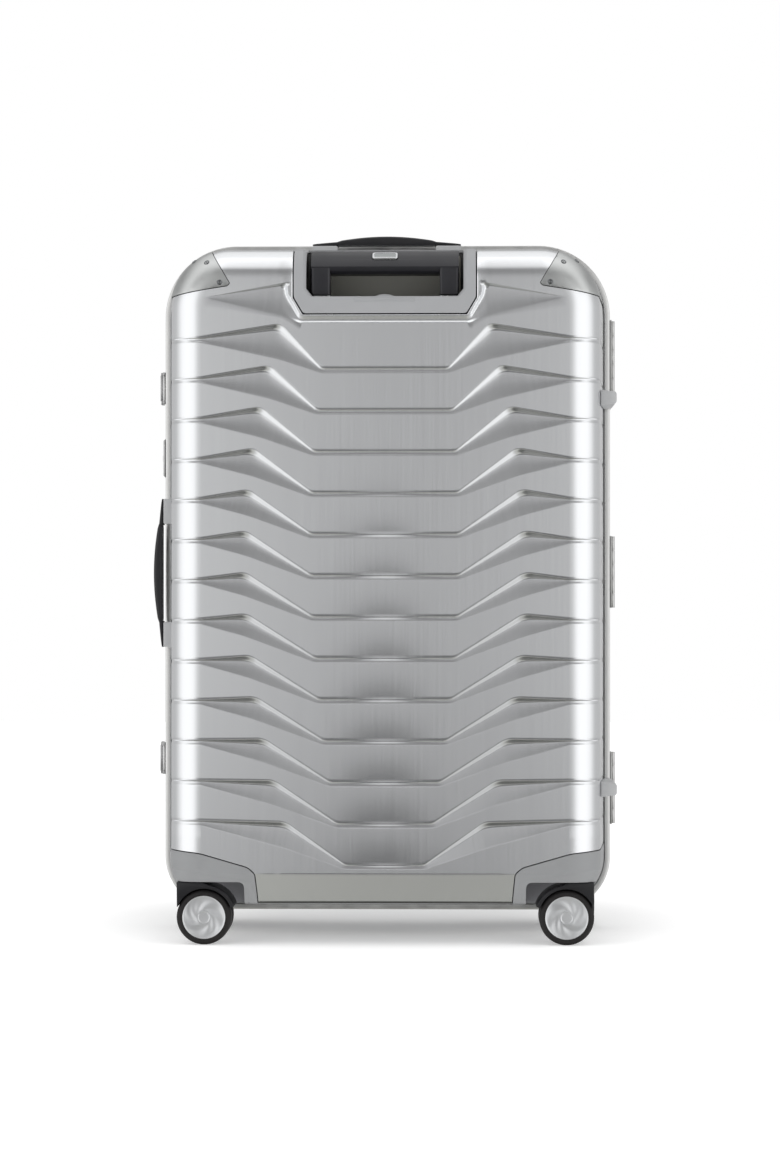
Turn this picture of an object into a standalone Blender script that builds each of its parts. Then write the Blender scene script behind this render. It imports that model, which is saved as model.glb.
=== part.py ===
"""Aluminium-framed hard shell suitcase with a trolley handle and four swivelling twin wheels.

World axes: +Z is up, -Y is the back, where the trolley handle is, and +X is the hinge side.
Lengths in this file are millimetres from the case's centre line, and MM turns them into metres.
A "depth" w is measured out from the parting plane, to the back for the root half and to the
front for the lid half. An "inset" is measured inward from the frame's outer outline.
"""
import math

import bmesh
import bpy
from mathutils import Matrix, Vector
from mathutils.geometry import delaunay_2d_cdt

MM = 0.001
BACK = -1
FRONT = 1
LEFT = -1
RIGHT = 1

# Outline of the case, seen from the back
HALF_WIDTH = 242.0
BOTTOM = 27.0
TOP = 749.0
TOP_CORNER_R = 78.0
BOTTOM_CORNER_R = 58.0
FACE_INSET = 49.0
CORNER_STEPS = 6
FAR = 60.0

# Section of each half, from its face to the parting plane
HALF_DEPTH = 142.0
EDGE_R = 34.0
EDGE_SWEEP = 85.0
EDGE_STEPS = 3
DRAFT = 9.0
EDGE_CENTRE = HALF_DEPTH - EDGE_R
SHELL = 1.2
SHELL_RIM = 5.5
GAP = 0.3

# Ribs pressed into the shells: each row runs tail, peak, valley and mirrors across the centre
ROWS = 13
TAIL_TOP, TAIL_PITCH = 638.6, 42.25
PEAK_TOP, PEAK_PITCH = 653.5, 43.56
PEAK_X, PEAK_BOW, PEAK_ROW = 146.4, 1.1, 5.8
VALLEY_TOP, VALLEY_PITCH = 606.2, 43.35
VALLEY_X, VALLEY_BOW, VALLEY_ROW = 77.9, 0.61, 4.3
TAIL_DEPTH, PEAK_DEPTH, VALLEY_DEPTH = 1.5, 5.5, 1.8
TAIL_RUN, PEAK_RUN, VALLEY_RUN = 2.0, 5.0, 2.5
TAIL_CREASE, PEAK_CREASE, VALLEY_CREASE = 8.0, 2.0, 7.0
FIRST_TAIL = (186.0, 681.0)
FIRST_PEAK = (104.0, 697.0)
FIRST_VALLEY = {BACK: (88.0, 657.0), FRONT: (60.8, 649.5)}

# Lining trays, as (w, inset) from the frame to the face
LINING_WALL = 1.2
LINING_SECTION = [(15.0, 11.8), (25.0, 17.0), (95.0, 21.0), (108.0, 26.0), (112.0, 36.0)]

# Corner guards and wheel housings, as outlines of their +X side (x, z)
GUARD_OUTLINE = [(260, 684), (260, 800), (192, 800), (192, 750), (181, 726), (163.4, 696),
                 (165.6, 693.4), (226, 684)]
HOUSING_OUTLINE = [(260, 20), (260, 99.6), (225, 99.6), (196, 97), (144.4, 82.2), (137, 75.9),
                   (134.4, 46.4), (134.4, 20)]
GUARD_PROUD = 1.5
HOUSING_PROUD = 0.6
HOUSING_WALL = 3.0
CAP_START = 17.0
POCKET_X = 148.0
POCKET_W = 50.0
POCKET_TOP = 67.0

# Casters
CASTER_X = 206.0
CASTER_W = 104.0
TRAIL = 15.0
WHEEL_R = 29.0
WHEEL_SIDES = 20
WHEEL_INNER = 5.6
WHEEL_OUTER = 22.6
AXLE_R = 3.0
KINGPIN_R = 5.0
KINGPIN_TOP = 72.0

# Lid hinges on the +X side
HINGE_X = 245.3
HINGE_Z = (629.0, 394.0, 159.0)
HINGE_LENGTH = 78.0
KNUCKLES = 5
KNUCKLE_R = 2.7

# Latches and lock on the -X side
LATCH_Z = (594.6, 191.1)
LATCH_PIVOT = (-244.0, -11.0)
LOCK_Z = (497.0, 539.0)

# Side feet on the +X side
FOOT_Z = (577.8, 163.0)
FOOT_REACH = 244.9

# Carry handles: how far along, and how far out from the case's wall
CARRY_W = 36.0
CARRY_LENGTH = 160.0
SIDE_HANDLE_Z = 392.7
TOP_GRIP = (6.5, 16.0)
SIDE_GRIP = (9.6, 19.0)
TOP_BRACKET = 5.4
SIDE_BRACKET = 8.0
GRIP_HALF_WIDTH = 11.0
BRACKET_SPAN = (53.0, 80.0)
BRACKET_HALF_WIDTH = 14.0
BRACKET_ROOT = -4.0
LEG_X = 66.5
LEG_SIZE = (2.5, 14.0)
LEG_SLOT = (3.4, 15.0)
LEG_LENGTH = 13.0

# Trolley handle
BEZEL_START = 72.0
BEZEL_OUTLINE = [(-95.5, 800), (-95.5, 681), (-85.5, 664), (85.5, 664), (95.5, 681), (95.5, 800)]
OPENING_OUTLINE = [(-82.5, 820), (-82.5, 690), (-76, 682), (76, 682), (82.5, 690), (82.5, 820)]
WELL_HALF = 84.5
WELL_FLOOR = 680.0
WELL_BACK = 80.0
TUBE_X = 67.6
TUBE_W = 122.0
TUBE_SIZE = (20.5, 11.5)
TUBE_SPAN = (224.0, 684.0)
GUIDE_SIZE = (24.0, 15.0)
GUIDE_SPAN = (104.0, 679.7)
BUTTON_ANGLE = math.radians(54.0)
BUTTON_SIZE = (27.0, 12.0, 6.0)
BUTTON_TRAVEL = 2.5

# The side handle reaches further out than the hinges, so this puts the whole box's middle at x = 0
LEFT_REACH = HALF_WIDTH - FACE_INSET + EDGE_R + DRAFT * (1 - CARRY_W / EDGE_CENTRE) + SIDE_GRIP[1]
CASE_X = (LEFT_REACH - HINGE_X - KNUCKLE_R) / 2
LID_AXIS = (HINGE_X, 0.0, HINGE_Z[1])


# ---------------------------------------------------------------- shape tools

def body(points, faces):
    """Closed body from points in millimetres, with its faces turned outward."""
    mesh = bpy.data.meshes.new("body")
    mesh.from_pydata([Vector(point) * MM for point in points], [], faces)
    work = bmesh.new()
    work.from_mesh(mesh)
    bmesh.ops.recalc_face_normals(work, faces=work.faces)
    work.to_mesh(mesh)
    work.free()
    piece = bpy.data.objects.new("body", mesh)
    bpy.context.collection.objects.link(piece)
    return piece


def loft(rings):
    """Closed body through rings of equal length, capped at both ends."""
    count = len(rings[0])
    points = [point for ring in rings for point in ring]
    faces = [tuple(range(count)), tuple(range(len(points) - count, len(points)))]
    for start in range(0, len(points) - count, count):
        for i in range(count):
            j = (i + 1) % count
            faces.append((start + i, start + j, start + count + j, start + count + i))
    return body(points, faces)


def prism(polygon, low, high, axis="Z"):
    """Polygon pushed along an axis. Its points are (y, z) for X, (x, z) for Y and (x, y) for Z."""
    turn = {"X": lambda a, b, c: (c, a, b),
            "Y": lambda a, b, c: (a, c, b),
            "Z": lambda a, b, c: (a, b, c)}[axis]
    return loft([[turn(a, b, level) for a, b in polygon] for level in (low, high)])


def block(low, high):
    """Box between two corners."""
    (x0, y0, z0), (x1, y1, z1) = low, high
    return prism([(x0, y0), (x1, y0), (x1, y1), (x0, y1)], z0, z1)


def disc(radius, sides, centre=(0.0, 0.0), turn=0.5):
    """Regular polygon round a centre. A turn of half a step gives it a flat at the bottom."""
    steps = [math.tau * (i + turn) / sides for i in range(sides)]
    return [(centre[0] + radius * math.cos(a), centre[1] + radius * math.sin(a)) for a in steps]


def arc(centre, radius, start, end, steps):
    """Points on an arc, with angles in degrees."""
    angles = [math.radians(start + (end - start) * i / steps) for i in range(steps + 1)]
    return [(centre[0] + radius * math.cos(a), centre[1] + radius * math.sin(a)) for a in angles]


def turned(profile, sides):
    """Body turned round the Y axis through a profile of (radius, y) points."""
    return loft([[(x, y, z) for x, z in disc(radius, sides)] for radius, y in profile])


def combine(piece, tool, operation):
    """Changes a piece by a tool body, and uses the tool up."""
    modifier = piece.modifiers.new(operation, "BOOLEAN")
    modifier.operation = operation
    modifier.object = tool
    view = bpy.context.evaluated_depsgraph_get()
    result = bpy.data.meshes.new_from_object(piece.evaluated_get(view))
    piece.modifiers.clear()
    piece.data, old = result, piece.data
    tool_mesh = tool.data
    bpy.data.objects.remove(tool)
    bpy.data.meshes.remove(old)
    bpy.data.meshes.remove(tool_mesh)
    return piece


def cut(piece, *tools):
    """Removes each tool's space from a piece."""
    for tool in tools:
        combine(piece, tool, "DIFFERENCE")
    return piece


def keep(piece, *tools):
    """Keeps what a piece shares with each tool."""
    for tool in tools:
        combine(piece, tool, "INTERSECT")
    return piece


def join(piece, *tools):
    """Adds each tool to a piece."""
    for tool in tools:
        combine(piece, tool, "UNION")
    return piece


def grow(polygon, distance):
    """Moves each edge of a polygon outward, whichever way round its points run."""
    count = len(polygon)
    area = sum(polygon[i - 1][0] * polygon[i][1] - polygon[i][0] * polygon[i - 1][1]
               for i in range(count))
    sign = 1 if area > 0 else -1
    result = []
    for i in range(count):
        here = Vector(polygon[i])
        before = (here - Vector(polygon[i - 1])).normalized()
        after = (Vector(polygon[(i + 1) % count]) - here).normalized()
        out_before = Vector((before.y, -before.x)) * sign
        out_after = Vector((after.y, -after.x)) * sign
        middle = (out_before + out_after).normalized()
        result.append(tuple(here + middle * distance / middle.dot(out_before)))
    return result


def mirrored(polygon, side):
    """Outline of a +X piece, moved to its side."""
    return [(side * x, z) for x, z in polygon]


def slab(polygon, low, high, half):
    """Outline (x, z) pushed through depths low to high of one half."""
    return prism(polygon, half * low, half * high, "Y")


def make_material(name, colour, roughness, metallic):
    """Principled material."""
    material = bpy.data.materials.new(name)
    material.use_nodes = True
    shader = material.node_tree.nodes["Principled BSDF"]
    shader.inputs["Base Color"].default_value = (*colour, 1.0)
    shader.inputs["Roughness"].default_value = roughness
    shader.inputs["Metallic"].default_value = metallic
    return material


def name_part(piece, name, material, origin=(0.0, 0.0, 0.0)):
    """Names a finished node and puts its origin on its joint's axis."""
    piece.name = name
    piece.data.name = name
    piece.data.materials.clear()
    piece.data.materials.append(material)
    centre = Vector(origin) * MM
    piece.data.transform(Matrix.Translation(-centre))
    piece.data.shade_smooth()
    piece.data.set_sharp_from_angle(angle=math.radians(35.0))
    piece.location = centre
    piece.parent = case
    return piece


# ---------------------------------------------------------------- case form

def tail_levels():
    """Heights where the rib tails cross the side walls, with their depths, from the top down."""
    levels = []
    for row in range(ROWS):
        z = TAIL_TOP - TAIL_PITCH * row
        levels += [(z, 0.0), (z - TAIL_RUN, TAIL_DEPTH), (z - TAIL_CREASE, 0.0)]
    return levels


def outline(levels=()):
    """Outline of the flat face as (x, z, normal x, normal z, rib depth), anticlockwise."""
    half = HALF_WIDTH - FACE_INSET
    top_r = TOP_CORNER_R - FACE_INSET
    bottom_r = BOTTOM_CORNER_R - FACE_INSET
    corners = [(RIGHT, TOP - FACE_INSET - top_r, top_r, 0), (LEFT, TOP - FACE_INSET - top_r, top_r, 90),
               (LEFT, BOTTOM + FACE_INSET + bottom_r, bottom_r, 180),
               (RIGHT, BOTTOM + FACE_INSET + bottom_r, bottom_r, 270)]
    points = [(half, z, 1.0, 0.0, depth) for z, depth in reversed(levels)]
    for side, z, radius, start in corners:
        for step in range(CORNER_STEPS + 1):
            angle = math.radians(start + 90 * step / CORNER_STEPS)
            nx, nz = round(math.cos(angle), 9), round(math.sin(angle), 9)
            points.append((side * (half - radius) + radius * nx, z + radius * nz, nx, nz, 0.0))
        if start == 90:
            points += [(-half, z, -1.0, 0.0, depth) for z, depth in levels]
    return points


def section(rim):
    """Section of a half as (reach, w, normal reach, normal w), from the face's edge to a rim."""
    points = []
    for step in range(EDGE_STEPS + 1):
        angle = math.radians(EDGE_SWEEP * step / EDGE_STEPS)
        points.append((EDGE_R * math.sin(angle), EDGE_CENTRE + EDGE_R * math.cos(angle),
                       math.sin(angle), math.cos(angle)))
    wall = math.hypot(EDGE_CENTRE, DRAFT)
    points.append((EDGE_R + DRAFT * (1 - rim / EDGE_CENTRE), rim, EDGE_CENTRE / wall, 0.0))
    return points


def skin(half, offset, rim, levels=()):
    """Rings of the case's surface, moved out by offset, with the ribs' depths taken off."""
    rings = []
    for reach, w, n_reach, n_w in section(rim):
        ring = []
        for x, z, nx, nz, depth in outline(levels):
            out = reach + n_reach * (offset - depth)
            ring.append((x + nx * out, half * (w + n_w * (offset - depth)), z + nz * out))
        rings.append(ring)
    return rings


def form(half, offset, rim):
    """Solid of one half's outer form, moved out by offset and cut flat at a rim."""
    return loft(skin(half, offset, rim))


def rib_lines(half):
    """Upper edge, lower edge and crease of each rib row as lines of (x, z, depth)."""
    lines = []
    for row in range(-1, ROWS):
        if row < 0:
            tail, peak, valley = FIRST_TAIL, FIRST_PEAK, FIRST_VALLEY[half]
            tail_run, tail_crease, tail_depth = 0.0, 0.0, 0.0
        else:
            tail = (HALF_WIDTH - FACE_INSET, TAIL_TOP - TAIL_PITCH * row)
            peak = (PEAK_X - PEAK_BOW * (row - PEAK_ROW) ** 2, PEAK_TOP - PEAK_PITCH * row)
            valley = (VALLEY_X - VALLEY_BOW * (row - VALLEY_ROW) ** 2, VALLEY_TOP - VALLEY_PITCH * row)
            tail_run, tail_crease, tail_depth = TAIL_RUN, TAIL_CREASE, TAIL_DEPTH
        share = (peak[0] - valley[0]) / (tail[0] - valley[0])
        fold = valley[1] + share * (tail[1] - valley[1]) - PEAK_CREASE
        upper = [(*tail, 0.0), (*peak, 0.0), (*valley, 0.0)]
        lower = [(tail[0], tail[1] - tail_run, tail_depth), (peak[0], peak[1] - PEAK_RUN, PEAK_DEPTH),
                 (valley[0], valley[1] - VALLEY_RUN, VALLEY_DEPTH)]
        crease = [(tail[0], tail[1] - tail_crease, 0.0), (peak[0], fold, 0.0),
                  (valley[0], valley[1] - VALLEY_CREASE, 0.0)]
        for line in (upper, lower, crease):
            lines.append(line + [(-x, z, depth) for x, z, depth in reversed(line)])
    return lines


def face_sheet(half):
    """Ribbed face as points (x, z, depth) and triangles. The outline's points come first."""
    edge = [(x, z, depth) for x, z, nx, nz, depth in outline(tail_levels())]
    points = list(edge)
    known = {(round(x, 3), round(z, 3)): i for i, (x, z, depth) in enumerate(edge)}
    edges = [(i, (i + 1) % len(edge)) for i in range(len(edge))]
    for line in rib_lines(half):
        chain = []
        for x, z, depth in line:
            key = (round(x, 3), round(z, 3))
            if key not in known:
                known[key] = len(points)
                points.append((x, z, depth))
            chain.append(known[key])
        edges += list(zip(chain, chain[1:]))
    flat = [Vector((x, z)) for x, z, depth in points]
    found = delaunay_2d_cdt(flat, edges, [], 1, 1e-5)
    triangles = [tuple(found[3][corner][0] for corner in triangle) for triangle in found[2]]
    return points, triangles


def ribbed_shell(half):
    """Pressed aluminium shell of one half: two ribbed skins joined at the rim."""
    sheet, triangles = face_sheet(half)
    count = len(outline(tail_levels()))
    points, faces, rims = [], [], []
    for thickness in (0.0, SHELL):
        first = len(points)
        rings = skin(half, -thickness, SHELL_RIM, tail_levels())
        points += [point for ring in rings for point in ring]
        inner = len(points) - count
        points += [(x, half * (HALF_DEPTH - thickness - depth), z) for x, z, depth in sheet[count:]]
        for start in range(first, first + count * (len(rings) - 1), count):
            for i in range(count):
                j = (i + 1) % count
                faces.append((start + i, start + j, start + count + j, start + count + i))
        last_ring = first + count * (len(rings) - 1)
        rims.append(last_ring)
        for triangle in triangles:
            faces.append(tuple(first + i if i < count else inner + i for i in triangle))
    for i in range(count):
        j = (i + 1) % count
        faces.append((rims[0] + i, rims[0] + j, rims[1] + j, rims[1] + i))
    return body(points, faces)


# ---------------------------------------------------------------- case parts

def make_shell(half, name, material, origin):
    """Shell with the openings for its wheel housings and, at the back, for the handles."""
    shell = ribbed_shell(half)
    for side in (LEFT, RIGHT):
        cut(shell, slab(grow(mirrored(HOUSING_OUTLINE, side), GAP), CAP_START - GAP,
                        HALF_DEPTH + FAR, half))
    if half == BACK:
        cut(shell, slab(grow(BEZEL_OUTLINE, GAP), BEZEL_START - GAP, HALF_DEPTH + FAR, half))
        for place in (top_handle_place(), side_handle_place()):
            for end in (LEFT, RIGHT):
                cut(shell, moved(leg(end, LEG_SLOT, -2 * LEG_LENGTH, LEG_LENGTH), place))
    name_part(shell, name, material, origin)


def make_frame(half, name, material, origin):
    """Frame profile that runs round the rim of one half and holds the shell in its groove."""
    ring_section = [(0.0, 0.4), (0.0, 15.0), (1.0, 16.0), (5.6, 16.0), (5.6, 5.1), (10.4, 5.1),
                    (10.4, 13.0), (11.6, 13.0), (11.6, 0.4)]
    loop = outline()
    count = len(loop)
    points = []
    for inset, w in ring_section:
        out = FACE_INSET - inset
        points += [(x + nx * out, half * w, z + nz * out) for x, z, nx, nz, depth in loop]
    faces = []
    for k in range(len(ring_section)):
        low = k * count
        high = (k + 1) % len(ring_section) * count
        for i in range(count):
            j = (i + 1) % count
            faces.append((low + i, low + j, high + j, high + i))
    name_part(body(points, faces), name, material, origin)


def lining_solid(half, wall):
    """Filled tray in the shape of a lining's outer face, or of its inner face when wall is set."""
    rings = []
    for w, inset in LINING_SECTION:
        out = FACE_INSET - inset - wall
        level = w - wall if w > 15.0 or wall == 0 else w - 5.0
        rings.append([(x + nx * out, half * level, z + nz * out) for x, z, nx, nz, depth in outline()])
    return loft(rings)


def lining_recess(half, step):
    """Spaces that a lining goes round: the wheel pockets and, at the back, the handle's well."""
    recesses = []
    for side in (LEFT, RIGHT):
        edges = [(side * (144 - step), 10), (side * (144 - step), 74 + step),
                 (side * (HALF_WIDTH + FAR), 74 + step), (side * (HALF_WIDTH + FAR), 10)]
        recesses.append(slab(edges, 46 - step, HALF_DEPTH + FAR, half))
    if half == BACK:
        edges = [(-85 - step, 679 - step), (85 + step, 679 - step),
                 (85 + step, TOP + FAR), (-85 - step, TOP + FAR)]
        recesses.append(slab(edges, 78 - step, HALF_DEPTH + FAR, half))
    return recesses


def make_lining(half, name, material, origin):
    """Thin lining tray that stands a little inside the shell."""
    outer = cut(lining_solid(half, 0.0), *lining_recess(half, 0.0))
    inner = cut(lining_solid(half, LINING_WALL), *lining_recess(half, LINING_WALL))
    name_part(cut(outer, inner), name, material, origin)


def make_corner_guards(half, prefix, material, origin):
    """Metal caps over the two top corners."""
    for side, word in ((LEFT, "left"), (RIGHT, "right")):
        guard = slab(mirrored(GUARD_OUTLINE, side), CAP_START, HALF_DEPTH + FAR, half)
        keep(guard, form(half, GUARD_PROUD, CAP_START - FAR / 10))
        cut(guard, form(half, GAP + 0.05, CAP_START - FAR / 5))
        name_part(guard, f"{prefix}_corner_guard_{word}", material, origin)


def make_wheel_housings(half, prefix, material, origin):
    """Moulded bottom corners, each with an open pocket for its caster."""
    for side, word in ((LEFT, "left"), (RIGHT, "right")):
        housing = slab(mirrored(HOUSING_OUTLINE, side), CAP_START, HALF_DEPTH + FAR, half)
        keep(housing, form(half, HOUSING_PROUD, CAP_START - FAR / 10))
        hollow = form(half, -HOUSING_WALL, CAP_START - FAR / 5)
        cut(hollow, pocket(half, side, HOUSING_WALL))
        kingpin_hole = moved(prism(disc(KINGPIN_R + 0.6, 16), 60, 80), caster_place(half, side))
        cut(housing, hollow, pocket(half, side, 0.0), kingpin_hole)
        name_part(housing, f"{prefix}_wheel_housing_{word}", material, origin)


def pocket(half, side, wall):
    """Space that a caster turns in, grown by a wall."""
    inner, outer = side * (POCKET_X - wall), side * (HALF_WIDTH + FAR)
    top = POCKET_TOP + wall
    edges = [(inner, 10), (outer, 10), (outer, top), (inner, top)]
    return slab(edges, POCKET_W - wall, HALF_DEPTH + FAR, half)


def make_side_feet(half, prefix, material, origin):
    """Bars on the hinge side that the case lies on."""
    for z, word in zip(FOOT_Z, ("upper", "lower")):
        profile_points = [(225.0, z - 9.0), (238.0, z - 6.75), (FOOT_REACH - 2.0, z - 6.75),
                          (FOOT_REACH, z - 4.75), (FOOT_REACH, z + 4.75),
                          (FOOT_REACH - 2.0, z + 6.75), (238.0, z + 6.75), (225.0, z + 9.0)]
        foot = slab(profile_points, 20, 104, half)
        cut(foot, form(half, GAP, CAP_START - FAR / 5))
        name_part(foot, f"{prefix}_side_foot_{word}", material, origin)


# ---------------------------------------------------------------- casters

def caster_place(half, side):
    """Caster's frame: its own +X is the way it trails, and its own Y is the axle's line."""
    heading = math.pi if side == RIGHT else 0.0
    if half == FRONT:
        heading = -math.pi / 2
    spot = Vector((side * CASTER_X, half * CASTER_W, 0.0)) * MM
    return Matrix.Translation(spot) @ Matrix.Rotation(heading, 4, "Z")


def moved(piece, place):
    """Moves a body's mesh by a matrix."""
    piece.data.transform(place)
    return piece


def make_fork(place, name, material, origin):
    """Hooded fork whose web stands between the twin wheels, with its kingpin."""
    hub = (TRAIL, WHEEL_R)
    hood = [(-13.5, 66.0), (12.0, 66.0)] + arc(hub, 34.0, 78, 20, 3) + arc(hub, 31.0, 20, 159, 6)
    web = [(-10, 62), (-10, 46), (6, 24), (15, 20), (23, 24), (26, 34), (26, 50), (18, 60)]
    fork = prism(hood, -23.0, 23.0, "Y")
    join(fork, prism(web, -5.0, 5.0, "Y"), prism(disc(13.0, 12), 64.0, 66.4),
         prism(disc(KINGPIN_R, 10), 64.0, KINGPIN_TOP))
    cut(fork, prism(disc(AXLE_R + 0.5, 10, hub), -FAR, FAR, "Y"))
    name_part(moved(fork, place), name, material, origin)


def make_axle(place, name, material, origin):
    """Axle pin that carries the twin wheels."""
    hub = (TRAIL, WHEEL_R)
    axle = prism(disc(AXLE_R, 10, hub), -18.7, 18.7, "Y")
    name_part(moved(axle, place), name, material, origin)


def make_wheel(place, direction, name, material, origin):
    """Tyred wheel with a flat on its tread at the floor and a blind bore for the axle."""
    corner = WHEEL_R / math.cos(math.pi / WHEEL_SIDES)
    profile_points = [(corner - 2.5, WHEEL_INNER), (corner, WHEEL_INNER + 2.5), (corner, WHEEL_OUTER - 4.0),
                      (corner - 4.5, WHEEL_OUTER - 0.6), (22.5, WHEEL_OUTER)]
    wheel = turned([(r, direction * y) for r, y in profile_points], WHEEL_SIDES)
    bore = turned([(AXLE_R + 0.5, 0.0), (AXLE_R + 0.5, direction * 19.0)], 10)
    cut(wheel, bore)
    moved(wheel, Matrix.Translation(Vector((TRAIL, 0.0, WHEEL_R)) * MM))
    name_part(moved(wheel, place), name, material, origin)


def make_casters(half, prefix, finishes):
    """Two swivelling casters of one half."""
    for side, word in ((LEFT, "left"), (RIGHT, "right")):
        place = caster_place(half, side)
        label = f"{prefix}_{word}"
        swivel = (side * CASTER_X, half * CASTER_W, POCKET_TOP)
        hub = tuple(place @ Vector((TRAIL * MM, 0.0, WHEEL_R * MM)) / MM)
        make_fork(place, f"{label}_caster_fork", finishes["fork"], swivel)
        make_axle(place, f"{label}_caster_axle", finishes["steel"], hub)
        outward = RIGHT if (place.to_3x3() @ Vector((0.0, 1.0, 0.0))).y * half > 0 else LEFT
        if half == FRONT:
            outward = side
        make_wheel(place, outward, f"{label}_wheel_outer", finishes["tyre"], hub)
        make_wheel(place, -outward, f"{label}_wheel_inner", finishes["tyre"], hub)


# ---------------------------------------------------------------- hinges, latches, lock

def make_hinges(material):
    """Knuckled hinges between the frames. The rear leaf holds the pin."""
    pitch = HINGE_LENGTH / KNUCKLES
    for centre, word in zip(HINGE_Z, ("upper", "middle", "lower")):
        low, high = centre - HINGE_LENGTH / 2, centre + HINGE_LENGTH / 2
        for half, prefix in ((BACK, "rear"), (FRONT, "front")):
            ends = sorted((half * 3.0, half * 15.0))
            leaf = block((242.3, ends[0], low), (243.9, ends[1], high))
            for i in range(0 if half == BACK else 1, KNUCKLES, 2):
                bottom = low + i * pitch + GAP / 2
                top = low + (i + 1) * pitch - GAP / 2
                strap = sorted((half * 4.0, 0.0))
                join(leaf, block((242.7, strap[0], bottom), (243.9, strap[1], top)),
                     prism(disc(KNUCKLE_R, 12, (HINGE_X, 0.0), 0.0), bottom, top))
            if half == BACK:
                join(leaf, prism(disc(1.4, 8, (HINGE_X, 0.0)), low + 1.0, high - 1.0))
            else:
                cut(leaf, prism(disc(1.9, 8, (HINGE_X, 0.0)), low - FAR, high + FAR))
            axis_point = (HINGE_X, 0.0, centre)
            name_part(leaf, f"hinge_leaf_{prefix}_{word}", material, axis_point)


def make_latches(material):
    """Flip latches: a base with a pin, a lever that swings on it, and a catch on the lid's frame."""
    pivot_x, pivot_y = LATCH_PIVOT
    for z, word in zip(LATCH_Z, ("upper", "lower")):
        base = block((-245.0, -15.0, z - 17.2), (-242.3, -7.0, z - 14.2))
        join(base, block((-245.0, -15.0, z + 14.2), (-242.3, -7.0, z + 17.2)),
             prism(disc(1.0, 8, LATCH_PIVOT), z - 15.0, z + 15.0))
        name_part(base, f"latch_base_{word}", material)
        plate = [(-12.5, z - 13.8), (-6.0, z - 13.8), (-6.0, z - 17.3), (11.0, z - 17.3), (14.0, z - 14.3),
                 (14.0, z + 14.3), (11.0, z + 17.3), (-6.0, z + 17.3), (-6.0, z + 13.8), (-12.5, z + 13.8)]
        lever = prism(plate, -247.9, -245.3, "X")
        join(lever, prism(disc(1.7, 12, LATCH_PIVOT), z - 13.8, z + 13.8))
        cut(lever, prism(disc(1.3, 8, LATCH_PIVOT), z - 14.5, z + 14.5))
        name_part(lever, f"latch_lever_{word}", material, (pivot_x, pivot_y, z))
        catch = block((-244.9, 5.0, z - 8.0), (-242.3, 11.0, z + 8.0))
        name_part(catch, f"latch_catch_{word}", material, LID_AXIS)


def make_lock_plate(material):
    """Raised plate of the key lock, with bevelled ends."""
    low, high = LOCK_Z
    plate = [(-242.3, low), (-244.7, low + 2.4), (-244.7, high - 2.4), (-242.3, high)]
    name_part(prism(plate, -15.0, -1.0, "Y"), "lock_plate", material)


# ---------------------------------------------------------------- carry handles

def wall_reach(w):
    """How far the outer wall stands out from the face's outline at a depth."""
    return EDGE_R + DRAFT * (1 - w / EDGE_CENTRE)


def top_handle_place():
    """Handle's frame on the top wall: its own X runs along it and its own Z points up."""
    height = TOP - FACE_INSET + wall_reach(CARRY_W)
    return Matrix.Translation(Vector((0.0, -CARRY_W, height)) * MM)


def side_handle_place():
    """Handle's frame on the latch side: its own X runs up the wall and its own Z points out."""
    reach = HALF_WIDTH - FACE_INSET + wall_reach(CARRY_W)
    spot = Vector((-reach, -CARRY_W, SIDE_HANDLE_Z)) * MM
    return Matrix.Translation(spot) @ Matrix.Rotation(-math.pi / 2, 4, "Y")


def leg(end, size, low, high):
    """Flat leg at one end of a carry handle, in the handle's own frame."""
    width, depth = size
    return block((end * LEG_X - width / 2, -depth / 2, low), (end * LEG_X + width / 2, depth / 2, high))


def make_carry_handle(name, place, levels, words, bracket_material, grip_material):
    """Bowed grip with two legs that slide in brackets on the case's wall."""
    bracket_top, underside, crown = levels
    half = CARRY_LENGTH / 2
    seat = bracket_top + GAP
    bow = [(half, seat), (half, seat + 1.8), (half * 0.5, crown - 1.0), (half * 0.2, crown),
           (-half * 0.2, crown), (-half * 0.5, crown - 1.0), (-half, seat + 1.8), (-half, seat),
           (-50.0, seat), (-45.0, underside), (45.0, underside), (50.0, seat)]
    grip = prism(bow, -GRIP_HALF_WIDTH, GRIP_HALF_WIDTH, "Y")
    for end in (LEFT, RIGHT):
        join(grip, leg(end, LEG_SIZE, seat - LEG_LENGTH, seat + 1.0))
    name_part(moved(grip, place), f"{name}_grip", grip_material, tuple(place.translation / MM))
    for end, word in zip((LEFT, RIGHT), words):
        low, high = sorted((end * BRACKET_SPAN[0], end * BRACKET_SPAN[1]))
        edge = [(low, BRACKET_ROOT), (high, BRACKET_ROOT), (high, bracket_top - 1.0), (high - 1.0, bracket_top),
                (low + 1.0, bracket_top), (low, bracket_top - 1.0)]
        bracket = prism(edge, -BRACKET_HALF_WIDTH, BRACKET_HALF_WIDTH, "Y")
        cut(bracket, leg(end, LEG_SLOT, -FAR, FAR))
        moved(bracket, place)
        cut(bracket, form(BACK, GAP, SHELL_RIM))
        name_part(bracket, f"{name}_bracket_{word}", bracket_material)


# ---------------------------------------------------------------- trolley handle

def make_bezel(material):
    """Frame round the handle's opening, over the face's top edge."""
    bezel = slab(BEZEL_OUTLINE, BEZEL_START, HALF_DEPTH + FAR, BACK)
    keep(bezel, form(BACK, 0.8, 60.0))
    cut(bezel, slab(OPENING_OUTLINE, WELL_BACK + 2.0, HALF_DEPTH + 2 * FAR, BACK), form(BACK, -2.5, 50.0))
    name_part(bezel, "handle_bezel", material)


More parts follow.
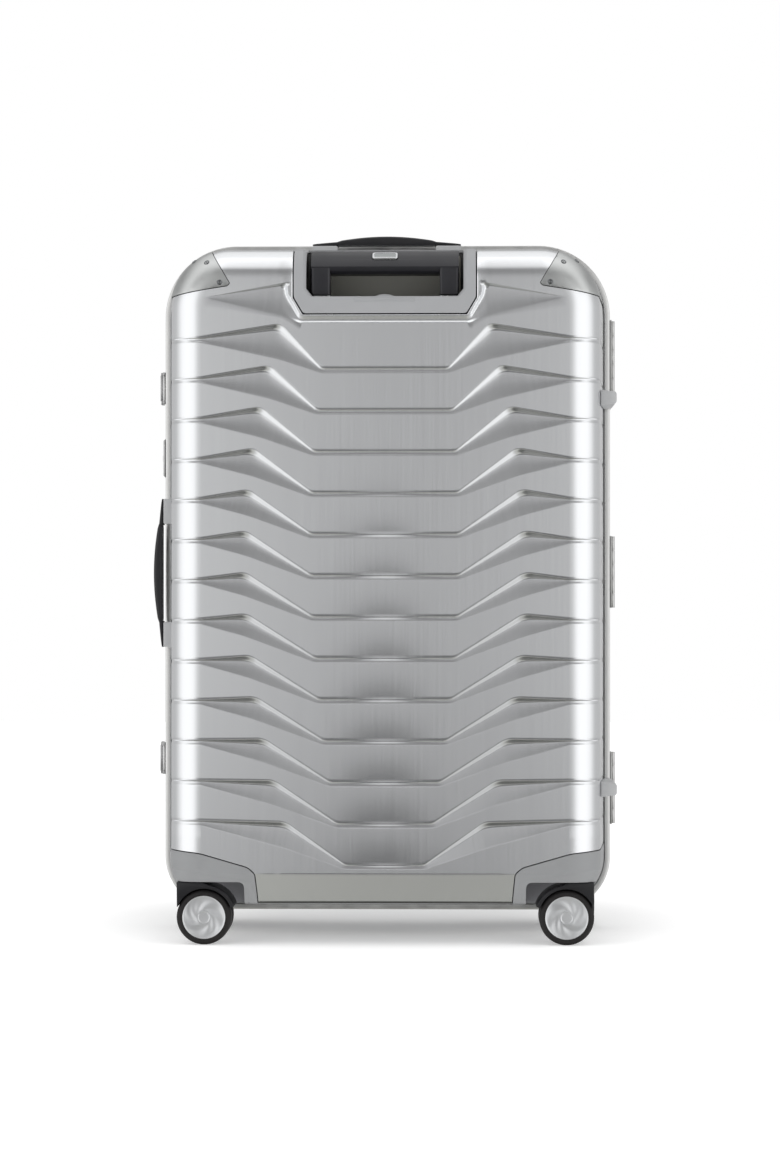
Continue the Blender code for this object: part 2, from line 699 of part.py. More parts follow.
def make_well(material):
    """Cup behind the bezel that the folded grip lies in."""
    wall = 2.0
    well = block((-WELL_HALF, -139.2, WELL_FLOOR), (WELL_HALF, -WELL_BACK, 738.0))
    keep(well, form(BACK, -2.9, 70.0))
    cut(well, block((wall - WELL_HALF, -HALF_DEPTH - FAR, WELL_FLOOR + wall),
                    (WELL_HALF - wall, -WELL_BACK - wall, TOP + FAR)))
    for side in (LEFT, RIGHT):
        cut(well, tube_block(side, 22.0, 14.0, WELL_FLOOR - FAR, WELL_FLOOR + FAR))
    name_part(well, "handle_well", material)


def tube_block(side, width, depth, low, high):
    """Upright block centred on a handle tube's line."""
    x = side * TUBE_X
    return block((x - width / 2, -TUBE_W - depth / 2, low), (x + width / 2, -TUBE_W + depth / 2, high))


def make_guide(material):
    """Pair of fixed outer tubes joined by crossbars at their ends."""
    width, depth = GUIDE_SIZE
    low, high = GUIDE_SPAN
    guide = tube_block(LEFT, width, depth, low, high)
    join(guide, tube_block(RIGHT, width, depth, low, high))
    for bottom, top in ((low + 1.0, low + 9.0), (high - 13.0, high - 5.0)):
        join(guide, block((-TUBE_X, -TUBE_W - 6.0, bottom), (TUBE_X, -TUBE_W + 6.0, top)))
    for side in (LEFT, RIGHT):
        cut(guide, tube_block(side, width - 2.4, depth - 2.4, low + 10.0, high + FAR))
    name_part(guide, "handle_guide", material)


def make_tubes(material):
    """Sliding inner tubes."""
    width, depth = TUBE_SIZE
    low, high = TUBE_SPAN
    for side, word in ((LEFT, "left"), (RIGHT, "right")):
        tube = tube_block(side, width, depth, low, high)
        cut(tube, tube_block(side, width - 2.4, depth - 2.4, low - FAR, high + FAR))
        name_part(tube, f"handle_tube_{word}", material, (side * TUBE_X, -TUBE_W, high))


def button_place():
    """Button's frame on the grip's rounded back edge: its own Z points out of the grip."""
    reach = EDGE_R - 1.2
    spot = Vector((0.0, -EDGE_CENTRE - reach * math.cos(BUTTON_ANGLE),
                   TOP - FACE_INSET + reach * math.sin(BUTTON_ANGLE)))
    return Matrix.Translation(spot * MM) @ Matrix.Rotation(math.pi / 2 - BUTTON_ANGLE, 4, "X")


def make_grip(material, button_material):
    """U-shaped grip on the tubes, with the release button in its back edge."""
    grip = block((-77.7, -134.0, 714.0), (77.7, -98.0, 735.5))
    keep(grip, form(BACK, -1.5, 70.0))
    for side in (LEFT, RIGHT):
        join(grip, tube_block(side, 20.1, 16.0, TUBE_SPAN[1] + GAP, 716.0))
    width, height, thickness = BUTTON_SIZE
    slot = block((-width / 2 - GAP, -height / 2 - GAP, -thickness - BUTTON_TRAVEL - GAP),
                 (width / 2 + GAP, height / 2 + GAP, FAR))
    cut(grip, moved(slot, button_place()))
    name_part(grip, "handle_grip", material, (0.0, -TUBE_W, TUBE_SPAN[1]))
    edge = [(-height / 2, -thickness), (height / 2, -thickness), (height / 2, -1.0),
            (height / 2 - 1.0, 0.0), (1.0 - height / 2, 0.0), (-height / 2, -1.0)]
    button = moved(prism(edge, -width / 2, width / 2, "X"), button_place())
    name_part(button, "handle_button", button_material, tuple(button_place().translation / MM))


# ---------------------------------------------------------------- assembly

def remove_everything():
    """Empties the scene."""
    for item in list(bpy.data.objects):
        bpy.data.objects.remove(item)
    for mesh in list(bpy.data.meshes):
        bpy.data.meshes.remove(mesh)


def make_finishes():
    """Materials by plain name."""
    return {
        "aluminium": make_material("brushed_aluminium", (0.62, 0.63, 0.64), 0.32, 1.0),
        "frame": make_material("satin_frame", (0.66, 0.67, 0.67), 0.38, 1.0),
        "guard": make_material("satin_guard", (0.60, 0.61, 0.62), 0.35, 1.0),
        "housing": make_material("grey_moulding", (0.27, 0.28, 0.29), 0.45, 0.0),
        "bezel": make_material("satin_bezel", (0.42, 0.43, 0.44), 0.4, 0.3),
        "black": make_material("black_plastic", (0.012, 0.012, 0.014), 0.42, 0.0),
        "fork": make_material("black_fork", (0.01, 0.01, 0.012), 0.4, 0.0),
        "tyre": make_material("soft_tyre", (0.012, 0.012, 0.013), 0.6, 0.0),
        "steel": make_material("bright_steel", (0.55, 0.55, 0.55), 0.25, 1.0),
        "lining": make_material("lining_fabric", (0.05, 0.055, 0.06), 0.9, 0.0),
        "bracket": make_material("light_bracket", (0.48, 0.49, 0.50), 0.4, 0.2),
    }


def build():
    """Makes every node of the suitcase."""
    finishes = make_finishes()
    halves = ((BACK, "rear", (0.0, 0.0, 0.0)), (FRONT, "front", LID_AXIS))
    for half, prefix, origin in halves:
        make_shell(half, f"{prefix}_shell", finishes["aluminium"], origin)
        make_frame(half, f"{prefix}_frame", finishes["frame"], origin)
        make_lining(half, f"{prefix}_lining", finishes["lining"], origin)
        make_corner_guards(half, prefix, finishes["guard"], origin)
        make_wheel_housings(half, prefix, finishes["housing"], origin)
        make_side_feet(half, prefix, finishes["bracket"], origin)
        make_casters(half, prefix, finishes)
    make_hinges(finishes["frame"])
    make_latches(finishes["frame"])
    make_lock_plate(finishes["frame"])
    make_carry_handle("top_handle", top_handle_place(), (TOP_BRACKET, *TOP_GRIP), ("left", "right"),
                      finishes["bracket"], finishes["black"])
    make_carry_handle("side_handle", side_handle_place(), (SIDE_BRACKET, *SIDE_GRIP), ("lower", "upper"),
                      finishes["bracket"], finishes["black"])
    make_bezel(finishes["bezel"])
    make_well(finishes["black"])
    make_guide(finishes["steel"])
    make_tubes(finishes["steel"])
    make_grip(finishes["black"], finishes["bracket"])


remove_everything()
case = bpy.data.objects.new("case", None)
bpy.context.collection.objects.link(case)
case.location = (CASE_X * MM, 0.0, 0.0)
build()
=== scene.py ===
"""Looks of an aluminium-framed hard shell suitcase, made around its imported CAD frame.

The rear half has the trolley handle and faces -Y. The lid swings on the +X side. Lengths are
millimetres from the case's centre line and the floor, and MM turns them into metres as a piece is
made. A depth w runs from the parting plane out to a half's face. An inset runs inward from the
frame's outer outline.
"""
import math

import bmesh
import bpy
from mathutils import Matrix, Vector
from mathutils.geometry import delaunay_2d_cdt


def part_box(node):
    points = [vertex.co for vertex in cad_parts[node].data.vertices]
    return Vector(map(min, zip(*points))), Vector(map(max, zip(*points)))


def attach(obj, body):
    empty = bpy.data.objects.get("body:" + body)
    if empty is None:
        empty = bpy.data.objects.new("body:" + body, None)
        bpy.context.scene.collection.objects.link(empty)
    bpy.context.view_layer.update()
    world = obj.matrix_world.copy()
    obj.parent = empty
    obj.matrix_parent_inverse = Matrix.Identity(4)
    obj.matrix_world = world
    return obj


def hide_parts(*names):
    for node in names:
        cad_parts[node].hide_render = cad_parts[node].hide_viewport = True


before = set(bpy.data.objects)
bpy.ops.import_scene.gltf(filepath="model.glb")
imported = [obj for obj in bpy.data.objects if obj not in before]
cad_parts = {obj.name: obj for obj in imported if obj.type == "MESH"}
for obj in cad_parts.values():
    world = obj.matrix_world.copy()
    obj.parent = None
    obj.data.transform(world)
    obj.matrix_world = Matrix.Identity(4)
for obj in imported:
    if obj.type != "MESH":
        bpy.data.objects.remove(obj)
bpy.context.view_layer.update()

MM = 0.001
BACK, FRONT = -1, 1
LEFT, RIGHT = -1, 1
HALVES = ((BACK, "rear", "root"), (FRONT, "front", "lid"))
SIDES = ((LEFT, "left"), (RIGHT, "right"))
GAP = 0.3
# How far a tool reaches past the case, so that it cuts right through
FAR = 60.0


def span(node):
    """Lowest and highest corner of a CAD node in millimetres."""
    low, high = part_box(node)
    return low / MM, high / MM


def middle_of(node):
    """Height of a CAD node's middle in millimetres."""
    low, high = span(node)
    return (low.z + high.z) / 2


# Outline and section of the case, from the frame
frame_low, frame_high = span("rear_frame")
CASE_X = (frame_low.x + frame_high.x) / 2
HALF_WIDTH = (frame_high.x - frame_low.x) / 2
BOTTOM, TOP = frame_low.z, frame_high.z
MIDDLE_Z = (TOP + BOTTOM) / 2
HALF_DEPTH = -span("rear_shell")[0].y
CASE = Matrix.Translation((CASE_X * MM, 0, 0))
TOP_CORNER_R, BOTTOM_CORNER_R = 78.0, 58.0
FACE_INSET = 49.0
FACE_HALF = HALF_WIDTH - FACE_INSET
FACE_TOP, FACE_BOTTOM = TOP - FACE_INSET, BOTTOM + FACE_INSET
EDGE_R, EDGE_SWEEP, DRAFT = 34.0, 85.0, 9.0
EDGE_CENTRE = HALF_DEPTH - EDGE_R
SHELL, SHELL_RIM = 1.2, 5.5
CROWN = 3.0
# The flat strip under the ribs: its slope, and where it ends on the rounded edge
STRIP_SLOPE, STRIP_REACH, STRIP_EASE = 0.52, 33.85, 2.7

# Ribs: each row runs tail, peak, shoulder, valley and centre, and is mirrored. Its wall drops from
# the upper edge to the foot, and its facet rises from there to the crease.
ROWS = 13
TAIL_TOP, TAIL_PITCH = 638.6, 42.25
PEAK_TOP, PEAK_PITCH = 653.5, 43.56
PEAK_X, PEAK_BOW, PEAK_ROW = 146.4, 1.1, 5.8
VALLEY_TOP, VALLEY_PITCH = 606.2, 43.35
VALLEY_X, VALLEY_BOW, VALLEY_ROW = 77.9, 0.61, 4.3
TAIL_DEPTH, PEAK_DEPTH, VALLEY_DEPTH = 0.8, 4.3, 0.7
TAIL_RUN, PEAK_RUN, VALLEY_RUN = 1.1, 4.3, 1.2
TAIL_CREASE, PEAK_CREASE, VALLEY_CREASE = 4.6, 2.0, 4.4
# What changes from one row to the next
RUN_GROWTH, PEAK_SIDE, SIDE_LOSS = 0.07, 4.2, 0.25
PEAK_LOSS = 0.06
FACET_CURVE, CURVE_LOSS = 1.9, 0.05
SHOULDER = 0.25
# The short row on top: its upper edge ends lower on the lid, where no bezel covers it
TOP_TAIL, TOP_PEAK, TOP_FOLD = (190, 681), (101.5, 697.0), (110, 660.9)
TOP_SHOULDER = {BACK: (101.7, 685.0), FRONT: (93.0, 685.0)}
TOP_VALLEY = {BACK: (88.5, 661.3), FRONT: (60.8, 653.0)}
TOP_FOOT_STEPS = ((0, 0), (3.6, -3.4), (2.7, -0.7), (1.2, -3.9))
TOP_CREASE_STEPS = ((14.5, -2.0), (1.6, -7.4))
TOP_DEPTHS = [0.0, 4.2, 3.6, 1.8, 1.8]
PLATE_STEPS = ((-3.0, 2.2), (-0.9, 1.5), (-1.2, 0.6), (-0.6, 1.3), (0.0, 1.3))
# Shares of a wall, a facet and the flat below it at which a line of points runs
WALL_STEPS = (0.0, 0.08, 0.2, 0.4, 0.6, 0.8, 0.92, 1.0)
FACET_STEPS = (0.1, 0.22, 0.36, 0.5, 0.64, 0.78, 0.9, 1.0)
FLAT_STEPS = (0.04, 0.25, 0.5, 0.75, 0.92)
# Points on the straight and in the bend at each key, and the bend's radius
BENDS = ((9, 6, 7.0), (5, 4, 5.0), (5, 5, 4.0))
LAST_STEPS = 7
LAST_DROPS, LAST_LEVEL = (0.9, 1.9), 14.0
# The share from which the top row's flat lines reach the face's border
BORDER_SHARE = 0.4
NO_DEPTHS = [0.0] * 5
# The hollow in the middle of the lower rows
DISH_WIDTH, DISH_DEPTH, DISH_FADE = 74.0, 1.3, 2.4

# Outlines (x, z) of the +X guard and housing, and of the bezel and its opening
GUARD_OUTLINE = [(260, 684), (260, 800), (192, 800), (192, 750), (181, 726), (163.4, 696),
                 (165.6, 693.4), (226, 684)]
HOUSING_OUTLINE = [(260, 20), (260, 99.6), (225, 99.6), (196, 97), (144.4, 82.2), (137, 75.9),
                   (134.4, 46.4), (134.4, 20)]
HOUSING_LINE = [(245, 78.5), (195, 78.0), (185, 77.2), (160, 70.6), (143, 68.5), (143, 20), (245, 20)]
BEZEL_OUTLINE = [(-95.5, 800), (-95.5, 681), (-85.5, 664), (85.5, 664), (95.5, 681), (95.5, 800)]
OPENING_OUTLINE = [(-82.5, 820), (-82.5, 690), (-76, 682), (76, 682), (82.5, 690), (82.5, 820)]
CHAMFER_OUTLINE = [(-86.2, 820), (-86.2, 689.0), (-78.0, 681.4), (78.0, 681.4), (86.2, 689.0),
                   (86.2, 820)]
NOTCH = [(-9.9, 682), (-5.5, 683.6), (0.0, 684.1), (5.5, 683.6), (9.9, 682)]
CAP_START, BEZEL_START, OPENING_START = 17.0, 72.0, 82.0
GUARD_PROUD, HOUSING_PROUD, BEZEL_PROUD = 1.5, 0.6, 0.8
SEAM, BEZEL_SEAM, LIP = 1.1, 1.35, 1.1
RIVETS = ((187.7, 718.6), (173.4, 696.7), (202.2, 720.9))
POCKET_X, POCKET_W, POCKET_TOP = 148.0, 50.0, 67.0

# Profiles (inset, w) of the frame and of the seal between its halves
FRAME_SECTION = [(0.8, 0.4), (0.0, 1.2), (0.0, 6.5), (0.5, 7.0), (0.5, 8.2), (0.0, 8.7), (0.0, 14.6),
                 (0.4, 15.6), (1.4, 16.0), (5.0, 16.0), (5.6, 15.4), (5.6, 5.1), (10.4, 5.1),
                 (10.4, 13.0), (11.6, 13.0), (11.6, 0.4)]
SEAL_SECTION = [(1.2, -0.3), (1.2, 0.3), (6.0, 0.3), (6.0, -0.3)]

# Casters, with the wheels' centre ahead of the kingpin, and the wheel disc's radii
CASTER_X, CASTER_W, TRAIL, WHEEL_R = 206.0, 104.0, 15.0, 29.0
DISC_R, ARMS_OUT, ARMS_IN, CAP_R, CAP_RIM = 22.6, 20.4, 7.6, 7.2, 6.0
TYRE = [(4.2, 6.0), (17.5, 5.7), (24.0, 5.7), (27.2, 6.2), (28.6, 7.4), (29.0, 9.2), (29.0, 17.6),
        (28.7, 19.4), (27.6, 21.2), (25.8, 22.3), (23.6, 22.6), (22.7, 22.2), (22.3, 21.2), (4.2, 20.0)]
STEM = [(13.0, 65.0), (13.0, 66.1), (12.4, 66.5), (5.0, 66.5), (5.0, 71.4), (4.4, 72.0), (0.05, 72.0)]
WEB = [(-12.5, 62), (-13, 42), (-7, 32), (6, 24), (15, 20), (23, 24), (26, 34), (26, 50), (18, 60)]

# Trolley handle
WELL_BACK = 80.0
TUBE_X, TUBE_W = 67.6, 122.0
TUBE_SIZE, TUBE_TOP = (20.5, 11.5), 684.0
GRIP_R, GRIP_HALF = EDGE_R - 1.5, 77.7
BUTTON_ANGLE = math.radians(54.0)
BUTTON_FACE = [(-13.5, -6.0), (13.5, -6.0), (13.5, 6.0), (-13.5, 6.0)]
BUTTON_SECTION = ((0.0, -6.0), (0.0, -0.7), (-0.5, -0.1), (-1.0, 0.0), (-1.9, 0.0), (-2.3, -0.4))

# Carry handles, and the levels of their seat, underside and crest
CARRY_W, SIDE_HANDLE_Z = 36.0, 392.7
TOP_LEVELS, SIDE_LEVELS = (5.7, 6.5, 16.0), (8.3, 9.6, 19.0)
BOW_HALF, TAB_START, TAB_LENGTH, LEG_X = 53.0, 52.0, 28.0, 66.5

# Hinge screws, latch pads and the lock's cylinder
HINGE_SCREW_X, HINGE_SCREW_W, HINGE_SCREW_PITCH = 243.9, 10.0, 30.0
LATCH_PAD_X, LOCK_SPOT = -248.0, (-244.7, -8.0)

# Linings (w, inset) with the spaces they go round, straps and divider
LINING_WALL = 1.2
LINING_SECTION = [(15.0, 11.8), (20.0, 14.6), (25.0, 17.0), (60.0, 19.0), (95.0, 21.0), (103.0, 23.0),
                  (108.0, 26.0), (111.0, 30.5), (112.0, 36.0)]
LINING_POCKET_X, LINING_POCKET_TOP, LINING_POCKET_W = 144, 74, 46
LINING_WELL_HALF, LINING_WELL_FLOOR, LINING_WELL_W = 85, 679, 78
STRAP_WIDTH = 26.0
DIVIDER_W, DIVIDER_THICKNESS, DIVIDER_INSET, DIVIDER_SAG = 6.0, 1.4, 15.5, 4.0
POCKET_ZIP_Z = 560.0

# Studio: brightness by a direction's height, in front and behind, and the camera
FRONT_LIGHT = ((-1.0, 0.06), (-0.96, 0.1), (-0.88, 0.44), (-0.58, 0.44), (-0.4, 0.16), (-0.16, 0.16),
               (-0.1, 0.4), (-0.05, 0.62), (0.0, 0.62), (0.06, 0.6), (0.12, 0.56), (0.22, 0.5),
               (0.45, 0.33), (0.62, 0.27), (0.78, 1.0), (1.0, 1.1))
BEHIND_LIGHT = ((-1.0, 0.06), (-0.6, 0.1), (-0.35, 0.42), (0.0, 0.6), (0.6, 0.45), (0.8, 1.0),
                (1.0, 1.1))
LIGHT_SCALE, BACKDROP = 2.0, 1.0
SIDE_LIGHT, LOW_SIDE_LIGHT = 1.3, 1.2
FLOOR_HALF, FLOOR_COLOUR, FLOOR_TINT = 6000.0, (0.82, 0.82, 0.82), (1.0, 1.0, 0.93, 1.0)
# The floor's own even glow, and a painted shadow: a weaker glow in a pool round SHADOW_CENTRE
FLOOR_GLOW, SHADOW_GLOW = 0.44, 0.1
SHADOW_CENTRE, SHADOW_IN, SHADOW_OUT = (0.0, 0.2, 0.0), 0.12, 0.42
CAMERA_SPOT = (0.0759, -3.342, 0.358)
CAMERA_TILT, CAMERA_TURN, CAMERA_LENS = 90.375, 1.224, 94.03


# ---- shape tools

def made(points, faces, place=CASE):
    """New piece from points in millimetres."""
    mesh = bpy.data.meshes.new("piece")
    mesh.from_pydata([place @ (Vector(point) * MM) for point in points], [], faces)
    piece = bpy.data.objects.new("piece", mesh)
    bpy.context.scene.collection.objects.link(piece)
    return piece


def clamp(value):
    """Value held between 0 and 1."""
    return max(0.0, min(1.0, value))


def rectangle(x0, z0, x1, z1):
    """Outline of a rectangle between two corners."""
    return [(x0, z0), (x1, z0), (x1, z1), (x0, z1)]


def upright(middle_z, half_width, half_height, centre=0.0):
    """Outline of a rectangle round a middle height."""
    return rectangle(centre - half_width, middle_z - half_height, centre + half_width,
                     middle_z + half_height)


def reworked(piece, change):
    """Lets a function change a piece's mesh as a bmesh."""
    work = bmesh.new()
    work.from_mesh(piece.data)
    change(work)
    work.to_mesh(piece.data)
    work.free()
    return piece


def outward(piece):
    """Turns a closed piece's faces outward."""
    return reworked(piece, lambda work: bmesh.ops.recalc_face_normals(work, faces=work.faces))


def loft(rings, place=CASE, ends=True):
    """Body through rings of equal length, capped at both ends or joined into a loop."""
    count = len(rings[0])
    points = [point for ring in rings for point in ring]
    faces = []
    if ends:
        faces += [tuple(range(count)), tuple(range(len(points) - count, len(points)))]
    for k in range(len(rings) - (1 if ends else 0)):
        low, high = k * count, (k + 1) % len(rings) * count
        for i in range(count):
            j = (i + 1) % count
            faces.append((low + i, low + j, high + j, high + i))
    return outward(made(points, faces, place))


def prism(polygon, low, high, axis="Z", place=CASE):
    """Polygon pushed along an axis. Its points are (y, z) for X, (x, z) for Y and (x, y) for Z."""
    turn = {"X": lambda a, b, c: (c, a, b),
            "Y": lambda a, b, c: (a, c, b),
            "Z": lambda a, b, c: (a, b, c)}[axis]
    return loft([[turn(a, b, level) for a, b in polygon] for level in (low, high)], place)


def disc(radius, sides, centre=(0.0, 0.0)):
    """Points of a circle."""
    angles = [math.tau * i / sides for i in range(sides)]
    return [(centre[0] + radius * math.cos(a), centre[1] + radius * math.sin(a)) for a in angles]


def arc(centre, radius, start, end, steps):
    """Points on an arc, with angles in degrees."""
    angles = [math.radians(start + (end - start) * i / steps) for i in range(steps + 1)]
    return [(centre[0] + radius * math.cos(a), centre[1] + radius * math.sin(a)) for a in angles]


def turned(profile, sides, place):
    """Body turned round its own Y axis through a profile of (radius, y) points."""
    return loft([[(x, y, z) for x, z in disc(radius, sides)] for radius, y in profile], place)


def dome(profile, sides, place):
    """Body turned round its own Z axis through a profile of (radius, z) points."""
    return loft([[(x, y, z) for x, y in disc(radius, sides)] for radius, z in profile], place)


def bend(start, corner, end, share):
    """Point on the curve that rounds off a corner."""
    return start.lerp(corner, share).lerp(corner.lerp(end, share), share)


def rounded(polygon, radius, steps=5, most=1 / 3):
    """Polygon with its corners rounded off, each by at most a share of its edges."""
    result = []
    for i, point in enumerate(polygon):
        corner = Vector(point)
        before, after = Vector(polygon[i - 1]), Vector(polygon[(i + 1) % len(polygon)])
        reach = min(radius, (before - corner).length * most, (after - corner).length * most)
        start = corner + (before - corner).normalized() * reach
        end = corner + (after - corner).normalized() * reach
        result += [tuple(bend(start, corner, end, step / steps)) for step in range(steps + 1)]
    return result


def oriented(polygon):
    """Polygon with its points anticlockwise."""
    area = sum(polygon[i - 1][0] * polygon[i][1] - polygon[i][0] * polygon[i - 1][1]
               for i in range(len(polygon)))
    return list(polygon) if area > 0 else list(reversed(polygon))


def edge_lines(polygon):
    """Each edge of a polygon as its start and its outward normal."""
    points = [Vector(point) for point in oriented(polygon)]
    lines = []
    for i, start in enumerate(points):
        along = (points[(i + 1) % len(points)] - start).normalized()
        lines.append((start, Vector((along.y, -along.x))))
    return lines


def grow(polygon, distance):
    """Moves each edge of a polygon outward."""
    lines = edge_lines(polygon)
    result = []
    for i, (start, normal) in enumerate(lines):
        middle = (normal + lines[i - 1][1]).normalized()
        result.append(tuple(start + middle * distance / middle.dot(normal)))
    return result


def outside(lines, x, z):
    """How far a point lies outside a convex polygon, given its edge lines."""
    return max((Vector((x, z)) - start).dot(normal) for start, normal in lines)


def holds(polygon, x, z):
    """Whether a point lies in a polygon."""
    inside = False
    for (x0, z0), (x1, z1) in zip(polygon, polygon[1:] + polygon[:1]):
        if (z0 > z) != (z1 > z) and x < (x1 - x0) * (z - z0) / (z1 - z0) + x0:
            inside = not inside
    return inside


def mirrored(polygon, side):
    """Outline of a +X piece, moved to its side."""
    return [(side * x, z) for x, z in polygon]


def discard(piece):
    """Deletes a piece and its mesh."""
    mesh = piece.data
    bpy.data.objects.remove(piece)
    bpy.data.meshes.remove(mesh)


def settle(piece):
    """Applies a piece's modifiers."""
    view = bpy.context.evaluated_depsgraph_get()
    result = bpy.data.meshes.new_from_object(piece.evaluated_get(view))
    piece.modifiers.clear()
    piece.data, old = result, piece.data
    bpy.data.meshes.remove(old)
    return piece


def combine(piece, tool, operation):
    """Changes a piece by a tool, and uses the tool up."""
    modifier = piece.modifiers.new(operation, "BOOLEAN")
    modifier.operation = operation
    modifier.object = tool
    settle(piece)
    discard(tool)
    return piece


def cut(piece, *tools):
    """Removes each tool's space from a piece."""
    for tool in tools:
        combine(piece, tool, "DIFFERENCE")
    return piece


def keep(piece, tool):
    """Keeps what a piece shares with a tool."""
    return combine(piece, tool, "INTERSECT")


def gather(piece, *others):
    """Puts other pieces' meshes into a piece."""
    def take(work):
        for other in others:
            other.data.transform(piece.matrix_world.inverted() @ other.matrix_world)
            work.from_mesh(other.data)
            discard(other)
    return reworked(piece, take)


def soften(piece, width, segments=2, angle=30.0):
    """Rounds off a piece's sharp edges."""
    modifier = piece.modifiers.new("edges", "BEVEL")
    modifier.width = width * MM
    modifier.segments = segments
    modifier.limit_method = "ANGLE"
    modifier.angle_limit = math.radians(angle)
    modifier.use_clamp_overlap = True
    return settle(piece)


def thicken(piece, thickness):
    """Gives a sheet its thickness, inward from its faces."""
    modifier = piece.modifiers.new("thickness", "SOLIDIFY")
    modifier.thickness = thickness * MM
    modifier.offset = -1.0
    modifier.use_even_offset = False
    return settle(piece)


def clean(piece, distance):
    """Merges points that lie closer than a distance."""
    def merge(work):
        bmesh.ops.remove_doubles(work, verts=work.verts, dist=distance * MM)
        bmesh.ops.dissolve_degenerate(work, edges=work.edges, dist=distance * MM / 10)
    return reworked(piece, merge)


def copy_of(node):
    """Copy of a CAD node's mesh as a new piece, with its flat faces whole again."""
    def restore(work):
        bmesh.ops.remove_doubles(work, verts=work.verts, dist=0.01 * MM)
        bmesh.ops.recalc_face_normals(work, faces=work.faces)
        bmesh.ops.dissolve_limit(work, angle_limit=math.radians(1.0), verts=work.verts,
                                 edges=work.edges)
    piece = bpy.data.objects.new("copy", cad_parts[node].data.copy())
    bpy.context.scene.collection.objects.link(piece)
    return reworked(piece, restore)


# ---- case form

def crown(x):
    """How far the face falls away from its middle."""
    return CROWN * (x / FACE_HALF) ** 2


def wall_reach(w):
    """How far the outer wall stands out from the face's outline at a depth."""
    return EDGE_R + DRAFT * (1 - w / EDGE_CENTRE)


def outline(levels=(), corner_steps=16, spacing=24.0):
    """Outline of the flat face as (x, z, normal x, normal z, rib depth), anticlockwise.

    levels are the heights and rib depths of the points on its sides, from the top down.
    """
    top_r, bottom_r = TOP_CORNER_R - FACE_INSET, BOTTOM_CORNER_R - FACE_INSET
    high, low = FACE_TOP - top_r, FACE_BOTTOM + bottom_r
    if not levels:
        count = int((high - low) / spacing)
        levels = [(high + (low - high) * i / count, 0.0) for i in range(1, count)]
    points = [(FACE_HALF, z, 1.0, 0.0, depth) for z, depth in reversed(levels)]
    for side, z, radius, start in ((RIGHT, high, top_r, 0), (LEFT, high, top_r, 90),
                                   (LEFT, low, bottom_r, 180), (RIGHT, low, bottom_r, 270)):
        run = FACE_HALF - radius
        for step in range(corner_steps + 1):
            angle = math.radians(start + 90 * step / corner_steps)
            nx, nz = round(math.cos(angle), 9), round(math.sin(angle), 9)
            points.append((side * run + radius * nx, z + radius * nz, nx, nz, 0.0))
        if start == 90:
            points += [(-FACE_HALF, z, -1.0, 0.0, depth) for z, depth in levels]
        elif start < 270:
            way, count = (1.0 if start == 0 else -1.0), int(2 * run / spacing)
            points += [(way * run * (1 - 2 * i / count), z + way * radius, 0.0, way, 0.0)
                       for i in range(1, count)]
    return points


def section(rim, arc_steps=14, wall_steps=5):
    """Section of a half as (reach, w, normal reach, normal w), from the face's edge to a rim."""
    points = []
    for step in range(arc_steps + 1):
        angle = math.radians(EDGE_SWEEP * step / arc_steps)
        sine, cosine = math.sin(angle), math.cos(angle)
        points.append((EDGE_R * sine, EDGE_CENTRE + EDGE_R * cosine, sine, cosine))
    reach, w = points[-1][:2]
    lean = EDGE_CENTRE / math.hypot(EDGE_CENTRE, DRAFT)
    for step in range(1, wall_steps + 1):
        share = step / wall_steps
        points.append((reach + (wall_reach(rim) - reach) * share, w + (rim - w) * share, lean, 0.0))
    return points


def strip_fold(reach):
    """How far the flat strip under the ribs lies inside the rounded edge."""
    fall = EDGE_R - math.sqrt(EDGE_R ** 2 - reach ** 2)
    return (STRIP_SLOPE * reach - fall) * clamp((STRIP_REACH - reach) / STRIP_EASE)


def skin(half, offset, rim, loop, arc_steps=14):
    """Rings of the case's surface, moved out by offset, with the ribs' depths taken off."""
    rings = []
    for reach, w, n_reach, n_w in section(rim, arc_steps):
        fold = strip_fold(reach) if w > EDGE_CENTRE else 0.0
        ring = []
        for x, z, nx, nz, depth in loop:
            out = reach + n_reach * (offset - depth)
            level = w + n_w * (offset - depth - crown(x)) - fold * max(0.0, -nz) ** 2
            ring.append((x + nx * out, half * level, z + nz * out))
        rings.append(ring)
    return rings


def face_of(loop, lines):
    """Points (x, z, depth) and triangles of a face, whose first points are its outline's."""
    points = [(x, z, depth) for x, z, _, _, depth in loop]
    known = {(round(x, 3), round(z, 3)): i for i, (x, z, depth) in enumerate(points)}
    edges = [(i, (i + 1) % len(loop)) for i in range(len(loop))]
    for line in lines:
        chain = []
        for x, z, depth in line:
            key = (round(x, 3), round(z, 3))
            if key not in known:
                known[key] = len(points)
                points.append((x, z, depth))
            chain.append(known[key])
        edges += [pair for pair in zip(chain, chain[1:]) if pair[0] != pair[1]]
    found = delaunay_2d_cdt([Vector((x, z)) for x, z, depth in points], edges, [], 1, 1e-5)
    spots = [points[sources[0]] if sources else (spot.x, spot.y, 0.0)
             for spot, sources in zip(found[0], found[3])]
    return spots, found[2], found[3]


